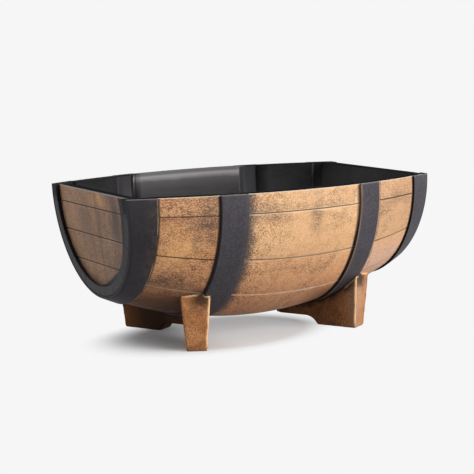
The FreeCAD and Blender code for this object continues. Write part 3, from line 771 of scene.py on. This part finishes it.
# %% Smudges and overspray on the staves
# Each smudge: place along the barrel, height, reach along, reach up, strength.
SMUDGES = (
    (-0.172, 0.240, 0.022, 0.044, 0.68), (-0.190, 0.195, 0.009, 0.034, 0.50),
    (-0.205, 0.237, 0.042, 0.010, 0.40), (-0.205, 0.124, 0.036, 0.018, 0.62),
    (-0.080, 0.240, 0.034, 0.018, 0.50), (0.021, 0.222, 0.014, 0.034, 0.62),
    (0.040, 0.240, 0.080, 0.009, 0.30), (0.205, 0.238, 0.040, 0.014, 0.58),
    (-0.167, 0.099, 0.020, 0.012, 0.90), (-0.194, 0.079, 0.026, 0.016, 0.80),
    (-0.180, 0.226, 0.026, 0.018, 0.92), (-0.230, 0.130, 0.042, 0.015, 0.85),
    (-0.062, 0.228, 0.026, 0.010, 0.55),
)
# Each sprayed edge: hoop edge, reach of the spray to its right.
SPRAYED_EDGES = ((-HOOP_NEAR, 0.030), (HOOP_FAR, 0.012))
# Each painted shadow line left of a hoop, where the hoop's raised side is in shade: hoop edge, reach,
# strength near the rim.
SHADOW_LINES = ((-HOOP_FAR, 0.0044, 0.95), (HOOP_NEAR, 0.0066, 0.62), (HOOP_END, 0.0048, 0.90))
NEARBY = 0.02
dirt = blot["Mask"] * 0.28
for *spot, strength in SMUDGES:
    dirt = largest(dirt, patch(x, z, ragged, *spot) * front * strength)
wood.over(dirt * (1 - fine["Glint"] * 0.5), "smudge")
fringe = ramp(abs(x - 0.1010), 0.0026, 0.0008) * ramp(z, 0.205, 0.225) * ramp(ragged, 0.42, 0.58)
wood.over(fringe * front * 0.6, "cream wear and highlight")
mist = 0
for edge, reach in SPRAYED_EDGES:
    beside = (x - edge) / (ragged * 1.6 * reach) + (fine["Relief"] - 0.45) * 0.8
    mist = largest(mist, calc("GREATER_THAN", x, edge - NEARBY) * ramp(beside, 1.0, 0.1) * 0.92)
wood.over(mist * outside, "mist")
# The first, just right of the left end hoop, is a plain dark line. The others are painted shadow lines
# left of the other hoops, whose raised sides are in shade.
line = calc("GREATER_THAN", x, -0.27) * ramp(x + HOOP_END, 0.0050, 0.0020) * 0.92
for edge, reach, high in SHADOW_LINES:
    strength = either(ramp(z, 0.17, 0.22), high, 0.96)
    beside = ramp(edge - x, reach, reach * 0.4)
    line = largest(line, calc("LESS_THAN", x, edge + NEARBY) * beside * strength)
wood.over(line * outside, "line")
print("stave finish: smudges and overspray done")

# %% Seams, rim and ends of the staves
# Painted highlight: pale lips along the seams stand for rounded edges catching the light, most on the
# right and low down.
kept = largest(to_right, ramp(z, 0.16, 0.12) * 0.5) * (1 - last_bay * 0.8)
lit_lip = stored(tree, "edge_highlight") * kept * outside
lip = use(tree, lip_wear_and_highlight, place, Gap=stored(tree, "edge"), Wear=lit_lip)
faint = ramp(z, 0.222, 0.236) * (1 - to_right)
wood.over(lip["Groove"] * (1 - lit_lip * 0.9) * either(faint, 0.25, 0.82), "seam")
wood.over(largest(lip["Lip"], lip["Groove"] * lit_lip * 0.6), "cream wear and highlight")
inside = 1 - outside
wood.over(inside * 0.7, Coat(tree, STAIN, blot["Tone"], "raw", "pale raw"))
level_top = ramp(z, 0.2695, 0.2703)
wood.over(level_top * ramp(face, 0.86, 0.99), "rim edge")
black = largest(level_top, ramp(z, 0.240, 0.255)) * inside
wood.over(black, "charcoal")
low_or_far = largest(ramp(z, 0.14, 0.10), ramp(y, 0.04, 0.10))
ring = Coat(tree, STAIN, low_or_far, "ring", "low ring")
# Dark lines along both edges of the end grain: painted shade in the recess at the inner edge, and a dark
# joint against the hoop at the outer edge.
ring.over(largest(ramp(face, 0.12, 0.03), ramp(face, 0.86, 0.94)), "ring joint and recess shade")
wood.over(ramp(end_plane(x, z), 0.2905, 0.2915), ring)
dress(shader, wood, roughness=0.50 + fine["Relief"] * 0.22 + black * 0.3, specular=0.25)
raise_grain(shader, fine["Relief"], strength=0.45, depth=0.0010)
print("stave finish:", len(tree.nodes), "nodes")

# %% [markdown]
# ## The black of the rim
# The level top of the shell and of the tub is one matt black, with no sheen at all. A sheen would
# turn pale at the flat angle from which the rim is seen, so the level faces get a finish of their
# own. The rim is a paler grey at the back, most at the middle.

# %% Rim finish
LEVEL = 0.85
NEAR_RIM = RIM_HEIGHT - 0.003
RIM = {"dark": (0.010, 0.010, 0.011), "light": (0.024, 0.023, 0.025), "pale_tone": (0.19, 0.184, 0.19)}
rim_black, tree, shader, place = new_finish("rim_black")
x, y, _ = split(tree, place)
brushed = noise(tree, place, 0.004, 3.0)
rim = Coat(tree, RIM, brushed, "dark", "light")
rim.over(back_rim_grey(x, y, middle=0.85, ends=0.18), "pale_tone")
dress(shader, rim, roughness=0.75 + brushed * 0.2, specular=0.0)


def blacken_rim(piece):
    """Give the level faces at the rim the matt black."""
    mesh = piece.data
    mesh.materials.append(rim_black)
    for face in mesh.polygons:
        if face.normal.z > LEVEL and face.center.z > NEAR_RIM:
            face.material_index = len(mesh.materials) - 1


print("rim finish:", len(tree.nodes), "nodes")

# %% [markdown]
# ## The staves
# Eight full staves and two narrow ones at the rim close the half barrel. Their seams lie at even
# angles below the rim, with a seam along the keel. One call of the tree makes one stave, and the
# list of angles is the whole plan. The two keel staves have drain holes. A hole follows no rule of
# the bend, so a Boolean with an upright cylinder cuts it after the board is bent.

# %% Drain holes
DRAIN_RADIUS = 0.006
DRAIN_ALONG, DRAIN_ASIDE = 0.045, 0.022
DRILL_LENGTH = 0.1


def drill(piece, spots):
    """Cut upright drain holes through a piece with a Boolean."""
    tools = []
    for across, depth in spots:
        work = bmesh.new()
        bmesh.ops.create_cone(
            work, cap_ends=True, segments=32,
            radius1=DRAIN_RADIUS, radius2=DRAIN_RADIUS, depth=DRILL_LENGTH,
        )
        bmesh.ops.translate(work, verts=work.verts, vec=(across, depth, DRILL_LENGTH / 2))
        tool = bpy.data.objects.new("drill", bpy.data.meshes.new("drill"))
        work.to_mesh(tool.data)
        work.free()
        scene.collection.objects.link(tool)
        cut = piece.modifiers.new("drain hole", "BOOLEAN")
        cut.operation, cut.solver, cut.object = "DIFFERENCE", "MANIFOLD", tool
        tools.append(tool)
    set_modifiers(piece)
    for tool in tools:
        bpy.data.objects.remove(tool)
    piece.data.shade_smooth()
    piece.data.set_sharp_from_angle(angle=CRISP_ANGLE)


print("drill ready")

# %% Staves
PITCH = math.radians(21.5)
SEAM = 0.0004 / MIDDLE_RADIUS
RIM_ANGLE = math.asin(AXIS_DROP / MIDDLE_RADIUS)
FULL = (
    "front_upper", "front_side", "front_lower", "front_keel",
    "back_keel", "back_lower", "back_side", "back_upper",
)
# How strongly the painted highlight shows along the upper edge of each stave.
LIT_UPPER_EDGE = {"front_upper": 1.0, "front_lower": 0.8, "front_side": 0.25}
first_seam = math.pi / 2 - 4 * PITCH
plan = {
    "front_rim": (-RIM_ANGLE, first_seam),
    "back_rim": (math.pi - first_seam, math.pi + RIM_ANGLE),
}
for number, name in enumerate(FULL):
    plan[name] = (first_seam + number * PITCH, first_seam + (number + 1) * PITCH)
for number, (name, (low, high)) in enumerate(plan.items()):
    piece = bend_board("bent_stave_" + name, stave_wood, {
        "From Angle": low + (0 if name == "front_rim" else SEAM / 2),
        "To Angle": high - (0 if name == "back_rim" else SEAM / 2),
        "From Rim": float(name == "front_rim"), "To Rim": float(name == "back_rim"),
        "Round": 0.0014, "Groove": 0.0053, "Unevenness": 0.0005, "Seed": number * 3.1 + 1,
        "From Wear": LIT_UPPER_EDGE.get(name, 0.4), "To Wear": 0.5 if name == "front_rim" else 0.3,
    })
    if "keel" in name:
        side = -DRAIN_ASIDE if "front" in name else DRAIN_ASIDE
        drill(piece, ((-DRAIN_ALONG, side), (DRAIN_ALONG, side)))
        print(name, "faces after drilling:", len(piece.data.polygons))
    blacken_rim(piece)
    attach(piece, "shell")
    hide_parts("stave_" + name)
print("staves:", len(plan), "faces of the last:", len(piece.data.polygons))

# %% [markdown]
# ## The hoops
# The hoops are flat bands, bent by the same rule and open at the rim. They are painted a matt
# charcoal. Their rounded sides are rubbed in places, and the light paint dust makes faint streaks
# round the band.

# %% Hoop finish
PAINT = {
    "dark": (0.048, 0.042, 0.048), "light": (0.074, 0.066, 0.077), "pale_tone": (0.092, 0.086, 0.100),
    "pit": (0.030, 0.028, 0.031), "glint": (0.120, 0.114, 0.126), "edge": (0.016, 0.014, 0.016),
    "sprayed": (0.105, 0.088, 0.088), "rubbed_and_sheen": (0.19, 0.125, 0.090), "low": (0.016, 0.013, 0.013),
    "gilt": (0.74, 0.44, 0.24), "left end shade": (0.022, 0.020, 0.022), "rust": (0.13, 0.080, 0.055),
    "worn": (0.66, 0.46, 0.30), "end": (0.030, 0.028, 0.032), "top edge": (0.16, 0.155, 0.16),
    "charcoal": CHARCOAL,
}
hoop_black, tree, shader, place = new_finish("hoop_black")
x, _, z = split(tree, place)
streaks = noise(tree, stretch(tree, place, (1, 0.12, 0.12)), 0.006, 4.0, 0.6)
pale_tone = use(tree, smudge, place, Size=0.14)
fine = use(tree, stipple, stretch(tree, place, (1, 0.6, 0.6)), Size=0.0026)
side = stored(tree, "end")
rub = use(tree, lip_wear_and_highlight, place, Gap=side + 0.0006, Wear=stored(tree, "end_wear"))
paint = Coat(tree, PAINT, streaks, "dark", "light")
paint.over(pale_tone["Tone"] * 0.40, "pale_tone")
paint.over(fine["Speck"] * 0.30, "pit")
paint.over(fine["Glint"] * 0.20, "glint")
sprayed = ramp(abs(x + HOOP_NEAR), 0.010, 0.004)
# Painted shade: the rounded sides of the hoops are darkened so that they show less light, except where the
# spray lies.
paint.over(ramp(side, 0.0024, 0.0004) * (1 - sprayed) * 0.75, "edge")
paint.over(sprayed * 0.3, "sprayed")
right_hoop = band(x, 0.100, 0.105, 0.170, 0.175)
paint.over(right_hoop * ramp(x, 0.1165, 0.1120) * either(ramp(z, 0.17, 0.24), 0.70, 0.40), "rubbed_and_sheen")
paint.over(right_hoop * ramp(z, 0.118, 0.084) * 0.65, "low")
paint.over(right_hoop * ramp(x, 0.1536, 0.1552) * ramp(z, 0.10, 0.14) * 0.8, "gilt")
# Painted shade: the hoops darken towards the left end, most near the rim.
paint.over(ramp(x, -0.20, -0.26) * either(ramp(z, 0.13, 0.21), 0.72, 0.5), "left end shade")
rusty = ramp(noise(tree, place, 0.012, 4.0, 0.65), 0.42, 0.62)
paint.over(ramp(x, -0.277, -0.257) * calc("LESS_THAN", x, -0.25) * rusty * 0.35, "rust")
low_left = ramp(x, -0.2, -0.24) * ramp(z, 0.14, 0.10)
paint.over(rub["Lip"] * either(low_left, 1.0, 0.7), "worn")
paint.over(ramp(end_plane(x, z), 0.2955, 0.2985), "end")
level_top = ramp(z, 0.2690, 0.2700)
paint.over(level_top, "charcoal")
paint.over(level_top * ramp(stored(tree, "face"), 0.6, 1.0), "top edge")
dress(shader, paint, roughness=0.52 + streaks * 0.16, specular=0.12)
raise_grain(shader, streaks, strength=0.12, depth=0.0006)
print("hoop finish:", len(tree.nodes), "nodes")

# %% Hoops
LABELS = ("Start", "End", "Start Lean", "End Lean In", "Start Wear", "End Wear")
bands = {
    "hoop_left_end": (-HALF_LENGTH, -HOOP_END, 1.0, 0.0, 0.0, 1.0),
    "hoop_left_middle": (-HOOP_FAR, -HOOP_NEAR, 0.0, 0.0, 0.0, 0.0),
    "hoop_right_middle": (HOOP_NEAR, HOOP_FAR, 0.0, 0.0, 0.5, 0.0),
    "hoop_right_end": (HOOP_END, HALF_LENGTH, 0.0, 1.0, 0.2, 0.0),
}
for number, (name, numbers) in enumerate(bands.items()):
    piece = bend_board("bent_" + name, hoop_black, {
        **dict(zip(LABELS, numbers)),
        "From Angle": -RIM_ANGLE, "To Angle": math.pi + RIM_ANGLE, "From Rim": 1.0, "To Rim": 1.0,
        "Inner": 0.0002, "Outer": 0.004, "Round": 0.0013, "Unevenness": 0.0004, "Seed": 50 + number * 2.3,
        "Points Along": 21, "Points Around": 181, "Points Through": 9,
    })
    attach(piece, "shell")
    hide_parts(name)
print("hoops:", len(bands))

# %% [markdown]
# ## Pieces cut from the frame
# The head boards, the feet and the tub are shaped to the barrel's inside or outside, and the CAD
# frame already holds those cuts. A copy of a CAD mesh is merged and then softened: a bevel breaks
# the sharp edges of boards, and a remesh with some smoothing rubs the feet round.

# %% Copies of CAD pieces
SAME_POINT = 2e-6
SAME_PLANE = math.radians(0.6)
BREAK_ANGLE = math.radians(40)


def merged_copy(node, name):
    """A copy of a CAD piece whose loose triangles are joined and whose flat faces are whole."""
    mesh = frame["nodes"][node].data.copy()
    mesh.name = name
    mesh.materials.clear()
    work = bmesh.new()
    work.from_mesh(mesh)
    bmesh.ops.remove_doubles(work, verts=work.verts, dist=SAME_POINT)
    bmesh.ops.dissolve_limit(work, angle_limit=SAME_PLANE, verts=work.verts, edges=work.edges)
    work.to_mesh(mesh)
    work.free()
    piece = bpy.data.objects.new(name, mesh)
    scene.collection.objects.link(piece)
    return piece


def break_edges(piece, width, steps=2):
    bevel = piece.modifiers.new("broken edges", "BEVEL")
    bevel.width, bevel.segments = width, steps
    bevel.limit_method, bevel.angle_limit = "ANGLE", BREAK_ANGLE
    set_modifiers(piece)


def shade_soft(piece, angle):
    """Smooth shading, with crisp edges where faces meet at more than an angle."""
    mesh = piece.data
    mesh.shade_smooth()
    mesh.set_sharp_from_angle(angle=math.radians(angle))


print("copies ready")

# %% [markdown]
# ## The heads
# Each head is four boards laid edge to edge and leaning in with the barrel's end. Their wood is
# duller and greyer than the staves, with upright smudges, and the black spray of the end ring
# darkens their lower edge. The seams are drawn by the distance down the leaning board.

# %% Head finish
HEAD = {
    "near": (0.33, 0.205, 0.145), "far": (0.44, 0.255, 0.155), "brown": (0.46, 0.255, 0.145),
    "orange": (0.84, 0.45, 0.23), "tan": (0.56, 0.35, 0.22), "glint": (0.58, 0.40, 0.28),
    "speck": (0.10, 0.058, 0.040), "dusk": (0.105, 0.085, 0.082), "lip": (0.55, 0.42, 0.32),
    "seam": (0.030, 0.019, 0.014), "ring": (0.027, 0.025, 0.027), "top edge": (0.40, 0.36, 0.33),
    "charcoal": CHARCOAL,
}
HEAD_SEAMS = (0.0301, 0.0793, 0.1285)
HEAD_INSET = 0.008
head_wood, tree, shader, place = new_finish("head_wood")
x, y, z = split(tree, place)
fine = use(tree, stipple, gather(tree, y, z, x * 0.1), Size=0.0028)
blot = use(tree, smudge, stretch(tree, place, (1, 1, 0.35)), Size=0.055)
ragged = noise(tree, stretch(tree, place, (1, 1, 0.4)), 0.025, 4.0, 0.6)
aside, drop = HALF_LENGTH - abs(x), RIM_HEIGHT - z
down = drop * math.cos(END_LEAN) + aside * math.sin(END_LEAN)
depth = aside * math.cos(END_LEAN) - drop * math.sin(END_LEAN) - HEAD_INSET
gap = abs(down - HEAD_SEAMS[0])
for seam in HEAD_SEAMS[1:]:
    gap = smallest(gap, abs(down - seam))
lip = use(tree, lip_wear_and_highlight, place, Gap=gap * 0.8, Wear=0.25)
far_side = ramp(y + (blot["Tone"] - 0.5) * 0.08, -0.07, 0.05)
wood = Coat(tree, HEAD, far_side, "near", "far")
wood.over(blot["Tone"] * 0.35, "brown")
wood.over(patch(y, z, ragged, middle=-0.018, height=0.256, width=0.028, rise=0.014) * 0.85, "orange")
wood.over(patch(y, z, ragged, middle=-0.054, height=0.205, width=0.010, rise=0.060) * 0.30, "tan")
wood.over(fine["Glint"] * 0.25, "glint")
wood.over(fine["Speck"] * 0.50, "speck")
dusk = patch(y, z, ragged, middle=-0.085, height=0.228, width=0.022, rise=0.055) * 0.80
dusk = largest(dusk, patch(y, z, ragged, middle=0.035, height=0.205, width=0.036, rise=0.045) * 0.48)
wood.over(largest(dusk, blot["Mask"] * 0.50), "dusk")
wood.over(lip["Lip"], "lip")
wood.over(lip["Groove"] * 0.92, "seam")
ring_gap = 0.1385 + aside * 0.5 - from_axis(y, z) + (noise(tree, place, 0.03, 3.0) - 0.5) * 0.006
near = ramp(y, 0.06, -0.06)
width = either(near, 0.016 + ramp(z, 0.13, 0.24) * 0.018, -0.004)
border = ramp(ring_gap - width, 0.004, -0.003)
vignette = ramp(ring_gap, 0.022, 0.0) * ramp(z, 0.22, 0.12) * 0.6
wood.over(largest(border, vignette), "ring")
wood.over(ramp(z, 0.2688, 0.2697), "charcoal")
wood.over(ramp(z, 0.2680, 0.2692) * ramp(depth, 0.0020, 0.0008), "top edge")
dress(shader, wood, roughness=0.52 + fine["Relief"] * 0.22, specular=0.25)
raise_grain(shader, fine["Relief"], strength=0.4, depth=0.0010)
print("head finish:", len(tree.nodes), "nodes")

# %% Head boards
for end in ("left", "right"):
    for number in range(1, 5):
        node = f"head_{end}_board_{number}"
        piece = merged_copy(node, "worn_" + node)
        piece.data.materials.append(head_wood)
        break_edges(piece, width=0.0012)
        shade_soft(piece, angle=30)
        blacken_rim(piece)
        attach(piece, "shell")
        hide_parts(node)
print("head boards: 8, faces of the last:", len(piece.data.polygons))

# %% [markdown]
# ## The feet
# The feet are splayed brackets whose thin webs meet under the keel. They are worn round at every
# edge. A bevel would fail on the scribed top edges, so the copy is remeshed and smoothed, and the
# script then measures how sharply each point stands out, to rub the wood pale there.

# %% Foot finish
FOOT = {
    "dark": (0.47, 0.195, 0.074), "light": (0.63, 0.290, 0.125), "speck": (0.13, 0.058, 0.028),
    "smudge": (0.12, 0.060, 0.034), "inward shade": (0.075, 0.022, 0.007), "right": (0.44, 0.31, 0.23),
    "back_shade": (0.014, 0.006, 0.003), "overspray_and_shade": (0.026, 0.019, 0.016), "rubbed_and_sheen": (0.95, 0.60, 0.32),
}
HULL_RADIUS = 0.210
foot_wood, tree, shader, place = new_finish("foot_wood")
x, y, z = split(tree, place)
fine = use(tree, stipple, gather(tree, z, y, x), Size=0.0026)
blot = use(tree, smudge, place, Size=0.05)
outer = abs(x)
back_shade = ramp(y, -0.02, 0.05)
wood = Coat(tree, FOOT, blot["Tone"], "dark", "light")
wood.over(fine["Speck"] * 0.65, "speck")
wood.over(blot["Mask"] * 0.45, "smudge")
# Painted shade under the hull, with a darker stain: the inner parts of the front feet and the back feet
# are darkened.
wood.over(largest(ramp(y, -0.135, -0.085) * 0.5, back_shade * 0.72), "inward shade")
wood.over(ramp(x, 0.10, 0.13) * ramp(y, -0.12, -0.14) * 0.45, "right")
# Painted shade: the back feet turn almost black where they run in under the keel.
wood.over(back_shade * ramp(y, 0.125, 0.075) * 0.85, "back_shade")
# Black overspray and painted shade: the feet darken where they meet the hull.
hull_gap = from_axis(y, z) - HULL_RADIUS
overspray_and_shade = ramp(hull_gap + (noise(tree, place, 0.02, 4.0, 0.6) - 0.5) * 0.03, 0.022, 0.006)
wood.over(overspray_and_shade * ramp(outer, 0.184, 0.164) * 0.88, "overspray_and_shade")
handled_and_sheen = largest(ramp(outer, 0.160, 0.148), ramp(z, 0.082, 0.090) * ramp(outer, 0.160, 0.172))
outer_end = ramp(y, -0.122, -0.131)
wood.over(stored(tree, "rubbed_and_sheen") * handled_and_sheen * ramp(z, 0.003, 0.012) * outer_end * 0.95, "rubbed_and_sheen")
dress(shader, wood, roughness=0.52 + fine["Relief"] * 0.22, specular=0.1)
raise_grain(shader, fine["Relief"], strength=0.45, depth=0.0012)
print("foot finish:", len(tree.nodes), "nodes")

# %% Feet
STANDS_OUT, RUBBED_RANGE = 0.009, 0.034


def rub_round(piece, cell, passes):
    """Even out the mesh, smooth it, and store how far each point stands out from its neighbours."""
    remesh = piece.modifiers.new("even cells", "REMESH")
    remesh.mode, remesh.voxel_size = "VOXEL", cell
    smooth = piece.modifiers.new("rubbed_and_sheen", "SMOOTH")
    smooth.factor, smooth.iterations = 0.5, passes
    set_modifiers(piece)
    mesh = piece.data
    total = [Vector() for _ in mesh.vertices]
    count = [0] * len(mesh.vertices)
    for edge in mesh.edges:
        first, second = edge.vertices
        total[first] += mesh.vertices[second].co
        total[second] += mesh.vertices[first].co
        count[first] += 1
        count[second] += 1
    shares = []
    for index, point in enumerate(mesh.vertices):
        out = (point.co - total[index] / count[index]).dot(point.normal) / cell
        shares.append(min(1.0, max(0.0, (out - STANDS_OUT) / RUBBED_RANGE)))
    rubbed_and_sheen = mesh.attributes.new("rubbed_and_sheen", "FLOAT", "POINT")
    rubbed_and_sheen.data.foreach_set("value", shares)
    mesh.shade_smooth()


for side in ("front", "back"):
    for end in ("left", "right"):
        node = f"foot_{side}_{end}"
        piece = merged_copy(node, "worn_" + node)
        rub_round(piece, cell=0.0018, passes=12)
        piece.data.materials.clear()
        piece.data.materials.append(foot_wood)
        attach(piece, "shell")
        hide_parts(node)
print("feet: 4, faces of the last:", len(piece.data.polygons))

# %% [markdown]
# ## The finish of the tub
# The tub is a thin black shell with four channels moulded into it, one behind each hoop. It has a
# soft sheen and is scuffed a little, and a painted sheen greys it below the rim in its middle bay.
# Each channel behind a middle hoop has a dark line at its right side, a painted shadow of the step.
# On the back wall this line is painted about 10 mm inside the moulded step, where the photograph
# shows it. Painted light brightens the channel floors, and thin painted highlights mark the channel edges.

# %% Tub finish
TUB = {
    "dark": (0.015, 0.014, 0.015), "light": (0.024, 0.022, 0.024), "streak": (0.035, 0.033, 0.035),
    "rubbed_and_sheen": (0.31, 0.295, 0.305), "edge": (0.12, 0.115, 0.12), "channel": (0.040, 0.038, 0.041),
    "step": (0.46, 0.44, 0.45), "line": (0.003, 0.003, 0.003),
    "top": (0.010, 0.010, 0.011), "grey top": (0.17, 0.165, 0.17),
}
# Channel floors that are painted lighter, and the painted shadow lines beside their steps.
CHANNELS = ((-0.1555, -0.1200), (0.1110, 0.1460))
CHANNEL_LINES = ((-0.1238, -0.1190), (0.1452, 0.1500))
BLUR = 0.0005
liner_black, tree, shader, place = new_finish("liner_black")
x, y, z = split(tree, place)
scuffs = use(tree, smudge, place, Size=0.07)
fine = use(tree, stipple, place, Size=0.006)
inner = stored(tree, "inner")
black = Coat(tree, TUB, scuffs["Tone"], "dark", "light")
black.over(fine["Streak"] * 0.25, "streak")
# Painted sheen: a soft pale reflection below the rim of the back wall, in the middle bay.
rising = ramp(z, 0.215, 0.262, smooth=False)
shine = ramp(z + (scuffs["Tone"] - 0.5) * 0.003, 0.2500, 0.2620, smooth=False)
shine = shine * either(ramp(z, 0.2625, 0.2680), 0.40, 1.0)
middle_bay = band(x, -0.1200, -0.1185, 0.1080, 0.1110)
handled_and_sheen = largest(rising * rising * 0.38, shine) * middle_bay * inner
black.over(handled_and_sheen, "rubbed_and_sheen")
# Painted highlights: thin pale lines where the rounded channel edges catch the light.
for edge in (-HOOP_FAR, HOOP_NEAR, HOOP_END):
    black.over(ramp(abs(x - edge), 0.0022, 0.0006) * 0.4, "edge")
# Painted light: the channel floors are lightened against the shadow that falls in them.
for low, high in CHANNELS:
    black.over(band(x, low, low + 0.001, high - 0.001, high) * ramp(z, 0.19, 0.22) * 0.85, "channel")
back_wall = ramp(y, 0.0, 0.05) * ramp(z, 0.17, 0.20) * inner
# Painted light: the strip between the painted line and the moulded step is lightened against the step's
# shadow.
step = band(x, -0.1192, -0.1182, -0.1115, -0.1085)
black.over(step * handled_and_sheen * back_wall * 0.6, "step")
# Painted shadow: dark lines for the shaded faces of the channel steps.
for low, high in CHANNEL_LINES:
    line = band(x, low - BLUR, low + BLUR, high - BLUR, high + BLUR)
    black.over(line * back_wall * 0.95, "line")
level_top = ramp(z, 0.2688, 0.2698)
black.over(level_top, Coat(tree, TUB, back_rim_grey(x, y, middle=1.0, ends=0.0), "top", "grey top"))
dress(shader, black, roughness=0.42 + scuffs["Mask"] * 0.14 + level_top * 0.4, specular=0.14)
raise_grain(shader, fine["Relief"], strength=0.1, depth=0.0006)
print("tub finish:", len(tree.nodes), "nodes")

# %% [markdown]
# ## The tub
# The CAD frame holds this one moulding as five nodes, so their copies are joined again. A Boolean
# would do it, but it leaves slivers that show along the seams. Instead the faces where two nodes
# meet go, and the open edges are sewn together point by point.

# %% Sew nodes together
LINERS = ("liner_middle", "liner_front_left", "liner_back_left", "liner_front_right", "liner_back_right")
CUT = 0.2
ON_CUT = 1e-5
SEAM_REACH = 0.0003
AT_END = 2e-5
WELD = 3e-5


def where_nodes_meet(face):
    """True for a face that lies wholly on one of the planes between two nodes."""
    spots = [vertex.co for vertex in face.verts]
    across = all(abs(abs(spot.x) - CUT) < ON_CUT for spot in spots)
    lengthwise = all(abs(spot.y) < ON_CUT and abs(spot.x) > CUT - ON_CUT for spot in spots)
    return across or lengthwise


def sew(work):
    """Where a seam point of one node lies on a seam edge of the next, split that edge there and weld."""
    seam = [edge for edge in work.edges if edge.is_boundary]
    for vertex in list(dict.fromkeys(vertex for edge in seam for vertex in edge.verts)):
        for edge in seam:
            start, stop = edge.verts
            nearest = min((vertex.co - end.co).length for end in (start, stop))
            if vertex in edge.verts or nearest < AT_END:
                continue
            spot, share = intersect_point_line(vertex.co, start.co, stop.co)
            if 0 < share < 1 and (spot - vertex.co).length < SEAM_REACH:
                part, added = bmesh.utils.edge_split(edge, start, share)
                added.co = vertex.co
                seam.append(part)
                break
    bmesh.ops.remove_doubles(work, verts=work.verts, dist=WELD)


work = bmesh.new()
for node in LINERS:
    work.from_mesh(frame["nodes"][node].data)
bmesh.ops.delete(work, geom=[face for face in work.faces if where_nodes_meet(face)], context="FACES")
bmesh.ops.remove_doubles(work, verts=work.verts, dist=SAME_POINT)
sew(work)
print("open edges left in the tub:", sum(edge.is_boundary for edge in work.edges))

# %% Tub
tub = bpy.data.objects.new("moulded_liner", bpy.data.meshes.new("moulded_liner"))
work.to_mesh(tub.data)
work.free()
scene.collection.objects.link(tub)
faces_in = []
for point in tub.data.vertices:
    to_axis = Vector((0, -point.co.y, AXIS_HEIGHT - point.co.z))
    faces_in.append(float(point.normal.dot(to_axis) > 0))
inner = tub.data.attributes.new("inner", "FLOAT", "POINT")
inner.data.foreach_set("value", faces_in)
tub.data.materials.append(liner_black)
blacken_rim(tub)
shade_soft(tub, angle=35)
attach(tub, "tub")
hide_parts(*LINERS)
print("tub faces:", len(tub.data.polygons))

# %% [markdown]
# ## The screws
# The screws sit inside the shell and only their heads show when the tub is out. The CAD pieces are
# fine as they are and get a brushed steel finish.

# %% Screws
STEEL = {"dark": (0.42, 0.42, 0.43), "light": (0.60, 0.60, 0.61)}
screw_steel, tree, shader, place = new_finish("screw_steel")
brushed = noise(tree, stretch(tree, place, (1, 0.1, 1)), 0.0008, 3.0)
steel = Coat(tree, STEEL, brushed, "dark", "light")
dress(shader, steel, roughness=0.28 + brushed * 0.2, specular=0.5)
shader.inputs["Metallic"].default_value = 1.0
for node in ("hoop_screws", "head_screws", "foot_screws"):
    screws = frame["nodes"][node]
    screws.data.materials.clear()
    screws.data.materials.append(screw_steel)
print("screw nodes: 3")

# %% [markdown]
# ## Finish
# The view layer is brought up to date once more at the end.

# %% Finish
bpy.context.view_layer.update()
